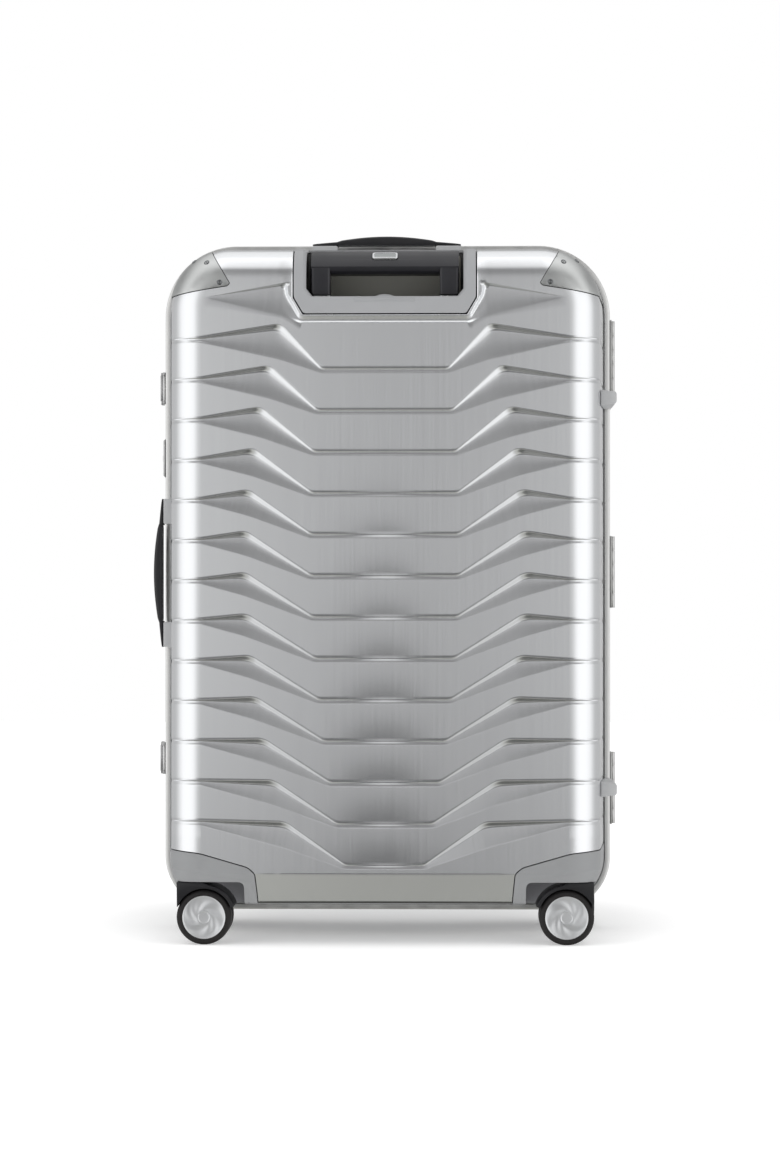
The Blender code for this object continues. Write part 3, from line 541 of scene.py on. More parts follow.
def sheet_over(half, offset, rim, lines, levels=(), arc_steps=14):
    """Open sheet over one half's form, from its rim to its face."""
    loop = outline(levels)
    count = len(loop)
    rings = skin(half, offset, rim, loop, arc_steps)
    rings.reverse()
    points = [point for ring in rings for point in ring]
    base = len(points) - count
    spots, triangles, origins = face_of(loop, lines)
    place_of = {}
    for i, sources in enumerate(origins):
        if sources and sources[0] < count:
            place_of[i] = base + sources[0]
        else:
            x, z, depth = spots[i]
            place_of[i] = len(points)
            points.append((x, half * (HALF_DEPTH + offset - depth - crown(x)), z))
    faces = [tuple(place_of[corner] for corner in triangle) for triangle in triangles]
    for start in range(0, count * (len(rings) - 1), count):
        for i in range(count):
            j = (i + 1) % count
            faces.append((start + i, start + j, start + count + j, start + count + i))

    def face_out(work):
        bmesh.ops.recalc_face_normals(work, faces=work.faces)
        if sum(face.normal.y * face.calc_area() for face in work.faces) * half < 0:
            bmesh.ops.reverse_faces(work, faces=work.faces)

    return reworked(made(points, faces), face_out)


def score(work, polygon, low, half):
    """Cuts a sheet's faces along an outline (x, z), where they lie deeper than low."""
    xs, zs = zip(*[((x + CASE_X) * MM, z * MM) for x, z in polygon])
    near = []
    for face in work.faces:
        spots = [vert.co for vert in face.verts]
        if (max(p.x for p in spots) > min(xs) - MM and min(p.x for p in spots) < max(xs) + MM
                and max(p.z for p in spots) > min(zs) - MM and min(p.z for p in spots) < max(zs) + MM
                and max(p.y * half for p in spots) > (low - 1) * MM):
            near.append(face)
    parts = near + list({edge for face in near for edge in face.edges})
    parts += list({vert for face in near for vert in face.verts})
    planes = [(Vector(((start.x + CASE_X) * MM, 0, start.y * MM)), Vector((normal.x, 0, normal.y)))
              for start, normal in edge_lines(polygon)]
    planes.append((Vector((0, half * low * MM, 0)), Vector((0, 1, 0))))
    for spot, normal in planes:
        parts = bmesh.ops.bisect_plane(work, geom=parts, plane_co=spot, plane_no=normal,
                                       dist=1e-7)["geom"]


def trim(piece, polygon, low, half, inside=False):
    """Opens a sheet inside an outline deeper than low, or keeps only that part of it."""
    def open_up(work):
        score(work, polygon, low, half)
        gone = []
        for face in work.faces:
            spot = face.calc_center_median() / MM
            within = spot.y * half > low and holds(polygon, spot.x - CASE_X, spot.z)
            if within != inside:
                gone.append(face)
        bmesh.ops.delete(work, geom=gone, context="FACES")
    return reworked(piece, open_up)


def press(piece, outlines, low, deepest, half, amount):
    """Scores outlines into a sheet deeper than low, then presses in its points there.

    amount(x, z) says how far a point goes in, for points that lie deeper than deepest.
    """
    def push(work):
        for polygon in outlines:
            score(work, polygon, low, half)
        work.normal_update()
        for vert in work.verts:
            spot = vert.co / MM
            if spot.y * half > deepest:
                vert.co -= vert.normal * amount(spot.x - CASE_X, spot.z) * MM
    return reworked(piece, push)


def plain_lines(spacing=16.0):
    """Grid of lines that lets a plain face take the crown."""
    count = int(2 * FACE_HALF / spacing)
    columns = [-FACE_HALF + 2 * FACE_HALF * i / count for i in range(1, count)]
    lines = []
    z = FACE_BOTTOM + spacing
    while z < FACE_TOP - 4:
        corner = max(0.0, z - (FACE_TOP - TOP_CORNER_R + FACE_INSET))
        limit = FACE_HALF - corner - 3
        lines.append([(x, z, 0.0) for x in columns if abs(x) < limit])
        z += spacing
    return lines


def on_surface(half, x, z, offset=0.0):
    """Point on the case's form at (x, z) and its outward normal, in millimetres."""
    radius = (TOP_CORNER_R if z > MIDDLE_Z else BOTTOM_CORNER_R) - FACE_INSET
    near_x = max(radius - FACE_HALF, min(FACE_HALF - radius, x))
    near_z = max(FACE_BOTTOM + radius, min(FACE_TOP - radius, z))
    away = Vector((x - near_x, z - near_z))
    reach = max(0.0, away.length - radius)
    angle = math.asin(min(0.9999, reach / (EDGE_R + offset)))
    sine, cosine = math.sin(angle), math.cos(angle)
    way = away.normalized() if away.length > 0 else Vector((0, 0))
    w = EDGE_CENTRE + (EDGE_R + offset - crown(min(FACE_HALF, abs(x)))) * cosine
    return Vector((x, half * w, z)), Vector((way.x * sine, half * cosine, way.y * sine))


def facing(spot, normal):
    """Place whose own Z points along a normal, with its own Y as near to up as it can be."""
    across = Vector((0, 0, 1)).cross(normal).normalized()
    up = normal.cross(across)
    turn = Matrix((across, up, normal)).transposed().to_4x4()
    return CASE @ Matrix.Translation(spot * MM) @ turn


# ---- finishing a piece

def finish(piece, name, body, look, replaces=(), angle=32.0):
    """Names a finished piece, gives it its look and lets it ride on its body."""
    piece.name = name
    piece.data.name = name
    material, slot = LOOKS[look]
    piece.data.materials.clear()
    piece.data.materials.append(material)
    piece.data.shade_smooth()
    piece.data.set_sharp_from_angle(angle=math.radians(angle))
    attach(piece, body)
    if replaces:
        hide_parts(*replaces)
    return piece


def dress(node, part, body, look, width, segments=2, angle=32.0):
    """Puts a copy of a CAD node with rounded edges in the node's place."""
    finish(soften(copy_of(node), width, segments), f"{node}_{part}", body, look, [node], angle)


def slab(name, body, look, edge, low, high, width, segments=2, axis="Y", place=CASE):
    """Finished plate with rounded edges, from its outline and its two levels."""
    finish(soften(prism(edge, low, high, axis, place), width, segments), name, body, look)


# ---- shells

def smooth(share):
    """Ease from 0 to 1."""
    return share * share * (3 - 2 * share)


def wall_fall(share):
    """How deep a rib's wall is at a share of its run: nearly straight, with rounded edges."""
    return 0.7 * share + 0.3 * smooth(share)


def facet_left(share, row):
    """How much of a facet's depth is left at a share of its width."""
    return 1 - share ** (FACET_CURVE - CURVE_LOSS * row)


def row_keys(row, half):
    """Upper edge, wall's foot and crease of a rib row, and the foot's depths, from tail to centre."""
    if row < 0:
        upper = [Vector(key) for key in (TOP_TAIL, TOP_PEAK, TOP_SHOULDER[half], TOP_VALLEY[half])]
        foot = [key + Vector(step) for key, step in zip(upper, TOP_FOOT_STEPS)]
        crease = [upper[0], Vector(TOP_FOLD)] + [upper[3] + Vector(step) for step in TOP_CREASE_STEPS]
        depths = TOP_DEPTHS
    else:
        tail = Vector((FACE_HALF, TAIL_TOP - TAIL_PITCH * row))
        peak = Vector((PEAK_X - PEAK_BOW * (row - PEAK_ROW) ** 2, PEAK_TOP - PEAK_PITCH * row))
        valley = Vector((VALLEY_X - VALLEY_BOW * (row - VALLEY_ROW) ** 2,
                         VALLEY_TOP - VALLEY_PITCH * row))
        share = (peak.x - valley.x) / (tail.x - valley.x)
        fold = Vector((peak.x, valley.y + share * (tail.y - valley.y) - PEAK_CREASE))
        inward = Vector((PEAK_SIDE - SIDE_LOSS * row, -PEAK_RUN - RUN_GROWTH * row))
        inward.y += (tail.y - peak.y) / (tail.x - peak.x) * inward.x
        lines = [(tail, peak, valley),
                 (tail - Vector((0, TAIL_RUN)), peak + inward, valley - Vector((0, VALLEY_RUN))),
                 (tail - Vector((0, TAIL_CREASE)), fold, valley - Vector((0, VALLEY_CREASE)))]
        upper, foot, crease = ([a, b, b.lerp(c, SHOULDER), c] for a, b, c in lines)
        deepest = PEAK_DEPTH - PEAK_LOSS * row
        shoulder_depth = deepest + (VALLEY_DEPTH - deepest) * SHOULDER
        depths = [TAIL_DEPTH, deepest, shoulder_depth, VALLEY_DEPTH, VALLEY_DEPTH]
    for line in (upper, foot, crease):
        line.append(Vector((0, line[-1].y)))
    return upper, foot, crease, depths


def trace(keys, depths):
    """Half of a rib line from its tail to the centre as (x, z, depth), with its corners rounded off."""
    keys = [Vector((*key, depth)) for key, depth in zip(keys, depths)]
    points = []
    start = keys[0]
    for (straight, turn, radius), corner, after in zip(BENDS, keys[1:], keys[2:]):
        before = min(radius, 0.8 * (start - corner).length)
        beyond = min(radius, 0.4 * (after - corner).length)
        first = corner + (start - corner).normalized() * before
        last = corner + (after - corner).normalized() * beyond
        points += [start.lerp(first, step / straight) for step in range(straight)]
        points += [bend(first, corner, last, step / turn) for step in range(turn)]
        start = last
    return points + [start.lerp(keys[-1], step / LAST_STEPS) for step in range(LAST_STEPS + 1)]


def dished(points, row, share):
    """Adds the soft hollow in the middle of a row, and the line's mirror image."""
    amount = DISH_DEPTH * clamp((row - 1) / 3) * share
    line = []
    for x, z, depth in points:
        if abs(x) < DISH_WIDTH:
            depth += amount * math.cos(math.pi * x / DISH_WIDTH / 2) ** 2
        line.append((x, z, depth))
    return line + [(-x, z, depth) for x, z, depth in reversed(line[:-1])]


def between(above, below, share):
    """Keys at a share of the way from one line to another."""
    return [a.lerp(b, share) for a, b in zip(above, below)]


def rib_lines(half):
    """All lines of a ribbed face, from the top row's upper edge down."""
    lines = []
    rows = [row_keys(row, half) for row in range(-1, ROWS)]

    def add(keys, depths, row, hollow):
        lines.append(dished(trace(keys, depths), row, hollow))

    if half == FRONT:
        add([key + Vector(step) for key, step in zip(rows[0][0], PLATE_STEPS)], NO_DEPTHS, -1, 0.0)
    for row, (upper, foot, crease, depths) in enumerate(rows, -1):
        for share in WALL_STEPS:
            wall = [depth * wall_fall(share) for depth in depths]
            add(between(upper, foot, share), wall, row, 1 - 0.5 * share)
        for share in FACET_STEPS:
            facet = [depth * facet_left(share, row) for depth in depths]
            add(between(foot, crease, share), facet, row, 0.5 * (1 - share) ** 2)
        if row + 1 < ROWS:
            for share in FLAT_STEPS[1:] if row < 0 else FLAT_STEPS:
                keys = between(crease, rows[row + 2][0], share)
                if row < 0 and share > BORDER_SHARE:
                    keys[0].x = FACE_HALF
                add(keys, NO_DEPTHS, row + 1, share ** DISH_FADE)
        else:
            for drop in LAST_DROPS:
                add([spot - Vector((0, drop)) for spot in crease], NO_DEPTHS, row, 0.0)
    return lines


def cap_lines():
    """Lines that let the plain ends of a ribbed face take the crown."""
    lines = [[(x, z, 0.0) for x in range(-70, 71, 10)] for z in (668, 680, 692)]
    lines.append([(x, FACE_BOTTOM + 1.2, 0.0) for x in range(-180, 181, 12)])
    for side in (LEFT, RIGHT):
        for z, start in ((97.0, 110), (84.0, 80)):
            lines.append([(side * x, z, 0.0) for x in range(start, 186, 12)])
    return lines


def tail_levels():
    """Heights where the rib tails cross the side walls, with their depths, from the top down."""
    tails = [[line[0] for line in row_keys(row, BACK)] for row in range(-1, ROWS)]
    levels = [(tails[0][2].lerp(tails[1][0], share).y, 0.0)
              for share in FLAT_STEPS if share > BORDER_SHARE]
    for row, (upper, foot, crease, depth) in enumerate(tails[1:]):
        levels += [(upper.lerp(foot, share).y, depth * wall_fall(share)) for share in WALL_STEPS]
        levels += [(foot.lerp(crease, share).y, depth * facet_left(share, row))
                   for share in FACET_STEPS]
        if row + 1 < ROWS:
            levels += [(crease.lerp(tails[row + 2][0], share).y, 0.0) for share in FLAT_STEPS]
    return levels + [(levels[-1][0] - LAST_LEVEL, 0.0)]


def turn_in_lip(shell):
    """Turns the shell's edge in at the gap round the bezel."""
    lines = edge_lines(BEZEL_OUTLINE)

    def depth(x, z):
        share = clamp((BEZEL_SEAM + LIP - outside(lines, x, z)) / LIP)
        return 1 - math.sqrt(1 - share * share)

    outlines = [grow(BEZEL_OUTLINE, BEZEL_SEAM + step) for step in (0.25, 0.6, LIP)]
    return press(shell, outlines, BEZEL_START, BEZEL_START - 6, BACK, depth)


def make_shells():
    """Pressed and brushed aluminium shells of both halves."""
    for half, prefix, rider in HALVES:
        shell = sheet_over(half, 0.0, SHELL_RIM, rib_lines(half) + cap_lines(), tail_levels(), 16)
        for side in (LEFT, RIGHT):
            edge = rounded(grow(mirrored(HOUSING_OUTLINE, side), SEAM), 7.0)
            trim(shell, edge, CAP_START - GAP, half)
        if half == BACK:
            turn_in_lip(shell)
            trim(shell, grow(BEZEL_OUTLINE, BEZEL_SEAM), BEZEL_START - GAP, half)
        clean(shell, 0.02)
        thicken(shell, SHELL)
        finish(shell, f"{prefix}_shell_skin", rider, "shell", [f"{prefix}_shell"], 40.0)


# ---- frame and corners

def ring(profile, half):
    """Profile run round the case's outline."""
    loop = outline(corner_steps=22, spacing=60.0)
    rings = []
    for inset, w in profile:
        out = FACE_INSET - inset
        rings.append([(x + nx * out, half * w, z + nz * out) for x, z, nx, nz, _ in loop])
    return loft(rings, ends=False)


def make_frames():
    """Grooved frame profiles, and the rubber seal between them."""
    for half, prefix, rider in HALVES:
        finish(ring(FRAME_SECTION, half), f"{prefix}_frame_profile", rider, "frame",
               [f"{prefix}_frame"], 28.0)
    finish(ring(SEAL_SECTION, BACK), "rim_seal", "root", "rubber")


def rivet(half, side, x, z):
    """Hollow rivet head on a corner guard."""
    spot, normal = on_surface(half, side * x, z, GUARD_PROUD)
    profile = [(3.1, -0.4), (3.1, 0.1), (2.8, 0.5), (2.3, 0.75), (1.8, 0.65), (1.5, 0.3), (1.2, 0.1),
               (0.9, 0.25), (0.5, 0.38), (0.05, 0.42)]
    return dome(profile, 24, facing(spot - normal * 0.15, normal))


def make_corner_guards():
    """Metal caps on the top corners, each on a dark gasket strip that paints the shadow line round its
    edge, and held by three rivets.
    """
    for half, prefix, rider in HALVES:
        for side, word in SIDES:
            edge = mirrored(GUARD_OUTLINE, side)
            guard = sheet_over(half, GUARD_PROUD - 0.05, CAP_START - 3, plain_lines(), arc_steps=18)
            trim(guard, rounded(edge, 3.5), CAP_START, half, inside=True)
            thicken(clean(guard, 0.15), 1.1)
            soften(guard, 0.45, 2, 60.0)
            node = f"{prefix}_corner_guard_{word}"
            finish(guard, f"{node}_cap", rider, "guard", [node], 50.0)
            # The dark gasket strip, a little wider than the cap, is a painted shadow line round the cap
            shade_gasket = sheet_over(half, 0.45, CAP_START - 3, plain_lines())
            trim(shade_gasket, rounded(grow(edge, 0.7), 4.0), CAP_START - 0.7, half, inside=True)
            thicken(clean(shade_gasket, 0.15), 0.6)
            finish(shade_gasket, f"{node}_gasket", rider, "rubber")
            heads = [rivet(half, side, x, z) for x, z in RIVETS]
            finish(gather(*heads), f"{node}_rivets", rider, "rivet")


def housing_skin(half, side):
    """Outer skin of a wheel housing, with its sculpted line and the pocket's mouth."""
    sheet = sheet_over(half, HOUSING_PROUD, CAP_START - 3, plain_lines(8.0), arc_steps=20)
    trim(sheet, rounded(mirrored(HOUSING_OUTLINE, side), 7.0), CAP_START, half, inside=True)
    line = mirrored(HOUSING_LINE, side)
    lines = edge_lines(line)
    slope, start = 1.6, CAP_START + 8
    press(sheet, [grow(line, distance) for distance in (0.0, slope / 2, slope)], start, start, half,
          lambda x, z: 0.45 * smooth(clamp(1 - outside(lines, x, z) / slope)))
    mouth = [(POCKET_X, 0), (POCKET_X, POCKET_TOP), (300, POCKET_TOP), (300, 0)]
    trim(sheet, rounded(mirrored(mouth, side), 7.0), POCKET_W, half)
    thicken(clean(sheet, 0.12), 3.0)
    return soften(sheet, 0.5, 2, 60.0)


def pocket_liner(half, side):
    """Walls of the space that a caster turns in, with a hole for its kingpin."""
    def space(wall, reach, bottom, radius, start, end):
        inner, top = POCKET_X - wall, POCKET_TOP + wall
        edge = [(inner, bottom), (inner, top), (reach, top), (reach, bottom)]
        return prism(rounded(mirrored(edge, side), radius), half * start, half * end, "Y")

    reach = HALF_WIDTH + FAR
    liner = space(2.0, reach, 10, 8.0, POCKET_W - 2, HALF_DEPTH + FAR)
    cut(liner, space(0.0, reach + 9, 0, 7.0, POCKET_W, 2 * HALF_DEPTH))
    keep(liner, loft(skin(half, -1.0, CAP_START, outline(corner_steps=10, spacing=400), 12)))
    return cut(liner, prism(disc(5.6, 20, (side * CASTER_X, half * CASTER_W)), 60, 80))


def make_wheel_housings():
    """Moulded bottom corners."""
    for half, prefix, rider in HALVES:
        for side, word in SIDES:
            node = f"{prefix}_wheel_housing_{word}"
            finish(housing_skin(half, side), f"{node}_cover", rider, "housing", [node], 35.0)
            finish(pocket_liner(half, side), f"{node}_pocket", rider, "pocket")


# ---- casters

def caster_place(half, side):
    """Caster's frame: its own +X is the way it trails, and its own Y is the axle's line."""
    heading = math.pi if side == RIGHT else 0.0
    if half == FRONT:
        heading = -math.pi / 2
    spot = Vector((side * CASTER_X + CASE_X, half * CASTER_W, 0.0)) * MM
    return Matrix.Translation(spot) @ Matrix.Rotation(heading, 4, "Z")


def make_fork(place, node, rider):
    """Hooded fork: a web between the wheels, a rounded hood over them and the kingpin."""
    hub = (TRAIL, WHEEL_R)
    hood = [(-13.8, 66.0), (12.0, 66.0)] + arc(hub, 34.0, 78, 20, 14) + arc(hub, 30.2, 20, 160, 28)
    shape = soften(prism(hood, -23.0, 23.0, "Y", place), 1.6, 3, 40.0)
    web = prism(rounded(WEB, 5.0), -5.0, 5.0, "Y", place)
    finish(gather(shape, web, dome(STEM, 32, place)), f"{node}_hood", rider, "fork", [node], 30.0)


def disc_level(radius, angle):
    """Relief of a wheel disc: its rolled rim, its five curved arms and its raised cap."""
    if radius > 21.0:
        return 0.5 - (DISC_R - radius) * 0.3
    if ARMS_IN < radius < ARMS_OUT:
        window = math.sin(math.pi * (radius - ARMS_IN) / (ARMS_OUT - ARMS_IN)) ** 0.7
        return -0.9 * window * (0.5 + 0.5 * math.sin(5 * angle + 4.2 * math.log(radius)))
    if radius < CAP_R:
        return 0.75 if radius > CAP_RIM else 0.35
    return 0.0


def swirl(place, face):
    """Silver wheel disc."""
    sides, hub = 72, (TRAIL, WHEEL_R)
    radii = [DISC_R, 22.3, 21.9, 21.2, ARMS_OUT] + [19.6 - 0.9 * i for i in range(13)]
    radii += [ARMS_IN, CAP_R, 6.9, 6.5, 6.1, 5.6, 5.0, 3.5, 1.8, 0.05]
    rings = [[(x, face * 16.0, z) for x, z in disc(DISC_R, sides, hub)]]
    for radius in radii:
        rings.append([(x, face * (21.7 + disc_level(radius, math.tau * i / sides)), z)
                      for i, (x, z) in enumerate(disc(radius, sides, hub))])
    return loft(rings, place)


def make_wheels(place, label, rider, direction):
    """Twin tyres with their discs and the axle between them."""
    hub = place @ Matrix.Translation(Vector((TRAIL, 0, WHEEL_R)) * MM)
    for sign, word in ((1, "outer"), (-1, "inner")):
        face = sign * direction
        node = f"{label}_wheel_{word}"
        wheel = turned([(radius, face * y) for radius, y in TYRE], 72, hub)
        finish(wheel, f"{node}_tyre", rider, "tyre", [node], 40.0)
        finish(swirl(place, face), f"{node}_disc", rider, "disc", angle=40.0)
    node = f"{label}_caster_axle"
    finish(turned([(3.0, -18.7), (3.0, 18.7)], 24, hub), f"{node}_pin", rider, "steel", [node])


def make_casters():
    """Four twin-wheel casters."""
    for half, prefix, _ in HALVES:
        for side, word in SIDES:
            place = caster_place(half, side)
            label = f"{prefix}_{word}"
            make_fork(place, f"{label}_caster_fork", f"{label}_caster")
            axle = place.to_3x3() @ Vector((0.0, 1.0, 0.0))
            outer = axle.y * half if half == BACK else axle.x * side
            make_wheels(place, label, f"{label}_wheels", 1 if outer > 0 else -1)


# ---- trolley handle

def make_bezel():
    """Satin frame round the handle's opening, with chamfered sides and a half-round lip."""
    bezel = sheet_over(BACK, BEZEL_PROUD, 60.0, plain_lines(10.0), arc_steps=20)
    trim(bezel, rounded(BEZEL_OUTLINE, 2.5), BEZEL_START, BACK, inside=True)
    inner, outer = edge_lines(OPENING_OUTLINE), edge_lines(CHAMFER_OUTLINE)

    def chamfer(x, z):
        to_hole, to_rim = max(0.0, outside(inner, x, z)), -outside(outer, x, z)
        return 3.2 * to_rim / (to_rim + to_hole) if to_rim > 0 else 0.0

    press(bezel, (CHAMFER_OUTLINE, OPENING_OUTLINE), OPENING_START, OPENING_START + 8, BACK, chamfer)
    trim(bezel, OPENING_OUTLINE[:3] + NOTCH + OPENING_OUTLINE[3:], OPENING_START, BACK)
    thicken(clean(bezel, 0.12), 3.0)
    soften(bezel, 0.5, 2, 40.0)
    finish(bezel, "handle_bezel_frame", "root", "bezel", ["handle_bezel"], 30.0)
    slab("handle_bezel_plate", "root", "bezel_plate", rounded(rectangle(-32, 676.3, 32, 680.4), 1.2),
         -HALF_DEPTH - 0.6, -HALF_DEPTH - 1.05, 0.15)


def make_well():
    """Cup behind the bezel, with a dull panel on its back wall."""
    dress("handle_well", "cup", "root", "well", 0.6)
    slab("handle_well_panel", "root", "well_panel", rounded(rectangle(-80, 683, 80, 731), 4.0),
         -WELL_BACK - 2.1, -WELL_BACK - 3.2, 0.4)


def make_grip():
    """U-shaped grip: a bar with a rounded back and two legs on the tubes."""
    profile = [(-y, z) for y, z in arc((EDGE_CENTRE, FACE_TOP), GRIP_R, 27, 88, 16)]
    profile += [(-98.0, 731.5), (-98.0, 709.0), (-104.0, 706.8), (-124.0, 706.8), (-131.5, 709.3)]
    grip = prism(profile, -GRIP_HALF, GRIP_HALF, "X")
    for side in (LEFT, RIGHT):
        low, high = sorted((side * 57.5, side * GRIP_HALF))
        column = rounded(rectangle(low, -134.6, high, -112), 3.0)
        combine(grip, prism(column, TUBE_TOP + GAP, 722.0), "UNION")
    keep(grip, loft(skin(BACK, -1.5, 70.0, outline(corner_steps=8, spacing=400), 30)))
    cut(grip, prism(rounded(grow(BUTTON_FACE, 0.4), 3.0), -9.0, 30.0, place=button_place()))
    soften(grip, 1.4, 3, 35.0)
    finish(grip, "trolley_grip", "trolley_handle", "grip", ["handle_grip"], 40.0)


def button_place():
    """Button's frame on the grip's rounded back: its own Z points out of the grip."""
    reach = EDGE_R - 1.2
    spot = Vector((CASE_X, -EDGE_CENTRE - reach * math.cos(BUTTON_ANGLE),
                   FACE_TOP + reach * math.sin(BUTTON_ANGLE)))
    return Matrix.Translation(spot * MM) @ Matrix.Rotation(math.pi / 2 - BUTTON_ANGLE, 4, "X")


def make_button():
    """Silvered release button with a rim and a sunk panel."""
    rings = [[(x, y, level) for x, y in rounded(grow(BUTTON_FACE, size), 3.2 + size)]
             for size, level in BUTTON_SECTION]
    finish(loft(rings, button_place()), "release_button_cap", "release_button", "button",
           ["handle_button"], 30.0)
    slab("release_button_panel", "release_button", "button_panel",
         rounded(grow(BUTTON_FACE, -2.4), 1.0), -0.9, -0.25, 0.15, 1, "Z", button_place())


def make_tubes():
    """Anodised sliding tubes, and the fixed tubes that they run in."""
    low = span("handle_tube_left")[0].z
    levels = [(0.0, low + 0.3), (0.0, TUBE_TOP - 0.3), (-0.3, TUBE_TOP), (-1.2, TUBE_TOP), (-1.2, low),
              (-0.3, low)]
    for side, word in SIDES:
        edge = upright(-TUBE_W, TUBE_SIZE[0] / 2, TUBE_SIZE[1] / 2, side * TUBE_X)
        rings = [[(x, y, z) for x, y in rounded(grow(edge, size), 3.0 + size)] for size, z in levels]
        node = f"handle_tube_{word}"
        finish(loft(rings, ends=False), f"{node}_sleeve", "trolley_handle", "tube", [node], 40.0)
    dress("handle_guide", "tubes", "root", "tube", 0.8)


# ---- carry handles

def top_handle_place():
    """Handle's frame on the top wall: its own X runs along it and its own Z points up."""
    return CASE @ Matrix.Translation(Vector((0.0, -CARRY_W, FACE_TOP + wall_reach(CARRY_W))) * MM)


def side_handle_place():
    """Handle's frame on the latch side: its own X runs up the wall and its own Z points out."""
    spot = Vector((-FACE_HALF - wall_reach(CARRY_W), -CARRY_W, SIDE_HANDLE_Z)) * MM
    return CASE @ Matrix.Translation(spot) @ Matrix.Rotation(-math.pi / 2, 4, "Y")


def slab_ring(x, low, high, half_width):
    """Rounded section across a handle, at x along it."""
    box = rectangle(-half_width, low, half_width, high)
    return [(x, y, z) for y, z in rounded(box, 3.2, most=0.45)]


def make_carry_handle(name, place, levels, rider):
    """Bowed grip with a wedge-shaped tab at each end and its legs."""
    seat, underside, crest = levels
    waist = underside + (crest - underside) * 0.47
    rings = []
    for step in range(25):
        x = -BOW_HALF + 2 * BOW_HALF * step / 24
        top = waist + (crest - waist) * (1 - (x / BOW_HALF) ** 2)
        end = max(0.0, abs(x) - BOW_HALF + 3.0) / 3.0
        rings.append(slab_ring(x, underside + 0.1 + end * 0.5, top - end * 0.7, 10.9 - 0.5 * end))
    parts = []
    for side in (LEFT, RIGHT):
        tab = []
        for step in range(9):
            share = step / 8
            low = seat + 0.35 + 0.25 * share
            high = waist - 0.7 - (waist - seat - 2.9) * share
            thin = 0.8 * max(0.0, share - 0.85) / 0.15
            tab.append(slab_ring(side * (TAB_START + TAB_LENGTH * share), low + thin * 0.3,
                                 high - thin * 0.4, 10.2 - 1.6 * share ** 3))
        leg = rounded(upright(0, 1.2, 7, side * LEG_X), 1.0)
        parts += [loft(tab, place), prism(leg, seat - 12.9, seat + 1.0, place=place)]
    finish(gather(loft(rings, place), *parts), f"{name}_bow", rider, "handle", [f"{name}_grip"], 35.0)


def make_carry_handles():
    """Top and side carry handles with their light brackets."""
    for name, place, levels, words in (
            ("top_handle", top_handle_place(), TOP_LEVELS, ("left", "right")),
            ("side_handle", side_handle_place(), SIDE_LEVELS, ("lower", "upper"))):
        make_carry_handle(name, place, levels, name)
        for word in words:
            dress(f"{name}_bracket_{word}", "mount", "root", "bracket", 0.7, 3)


# ---- hinges, latches, lock, feet

def screw(spot, normal):
    """Low cross-head screw on a face."""
    radius = 2.0
    profile = [(radius, -0.3), (radius, 0.1), (radius * 0.85, 0.35), (radius * 0.5, 0.42), (0.05, 0.42)]
    place = facing(Vector(spot), Vector(normal))
    bar = rectangle(-radius * 0.62, -0.22, radius * 0.62, 0.22)
    bars = [prism(edge, 0.12, 1.0, place=place) for edge in (bar, [(y, x) for x, y in bar])]
    return cut(dome(profile, 24, place), *bars)


def make_hinges():
    """Knuckled hinges with screwed leaves."""
    for word in ("upper", "middle", "lower"):
        for half, prefix, rider in HALVES:
            node = f"hinge_leaf_{prefix}_{word}"
            dress(node, "plate", rider, "hinge", 0.35, angle=40.0)
            heads = [screw((HINGE_SCREW_X, half * HINGE_SCREW_W, middle_of(node) + shift), (1, 0, 0))
                     for shift in (-HINGE_SCREW_PITCH, 0.0, HINGE_SCREW_PITCH)]
            finish(gather(*heads), f"{node}_screws", rider, "steel")


def make_latches():
    """Flip latches: bases, levers with a sunk finger pad, and catches."""
    for word in ("upper", "lower"):
        lever = f"latch_lever_{word}"
        dress(f"latch_base_{word}", "metal", "root", "latch", 0.35)
        dress(lever, "metal", lever, "latch", 0.6)
        dress(f"latch_catch_{word}", "metal", "lid", "latch", 0.35)
        pad = rounded(upright(middle_of(lever), 9.0, 11, 1.5), 3.0)
        slab(f"latch_pad_{word}", lever, "latch_pad", pad, LATCH_PAD_X, LATCH_PAD_X + 0.4, 0.15,
             axis="X")


def make_lock():
    """Lock plate with its key cylinder."""
    dress("lock_plate", "cover", "root", "latch", 0.4)
    place = facing(Vector((*LOCK_SPOT, middle_of("lock_plate"))), Vector((-1, 0, 0)))
    profile = [(4.6, -0.5), (4.6, 0.2), (4.2, 0.5), (3.7, 0.5), (3.4, 0.25), (0.05, 0.25)]
    barrel = dome(profile, 32, place)
    cut(barrel, prism(rectangle(-0.5, -2.2, 0.5, 2.2), -0.1, 1.0, place=place))
    finish(barrel, "lock_cylinder", "root", "steel")


def make_feet():
    """Side feet that the case lies on."""
    for _, prefix, rider in HALVES:
        for word in ("upper", "lower"):
            dress(f"{prefix}_side_foot_{word}", "bar", rider, "bracket", 1.3, 3, 40.0)


# ---- linings

def lining_solid(half, wall):
    """Filled tray in the shape of a lining's outer face, or of its inner face when wall is set."""
    rings = []
    for w, inset in LINING_SECTION:
        out = FACE_INSET - inset - wall
        level = w - wall if w > 15.0 or wall == 0 else w - 5.0
        rings.append([(x + nx * out, half * level, z + nz * out)
                      for x, z, nx, nz, _ in outline(corner_steps=12, spacing=60.0)])
    return loft(rings)


def lining_recess(half, step):
    """Spaces that a lining goes round: the wheel pockets and, at the back, the handle's well."""
    reach = HALF_WIDTH + FAR
    inner, top = LINING_POCKET_X - step, LINING_POCKET_TOP + step
    pocket = [(inner, 10), (inner, top), (reach, top), (reach, 10)]
    spaces = [(mirrored(pocket, side), LINING_POCKET_W) for side in (LEFT, RIGHT)]
    if half == BACK:
        width = LINING_WELL_HALF + step
        spaces.append((rectangle(-width, LINING_WELL_FLOOR - step, width, TOP + FAR), LINING_WELL_W))
    return [prism(rounded(edge, 9.0), half * (w - step), half * (HALF_DEPTH + FAR), "Y")
            for edge, w in spaces]


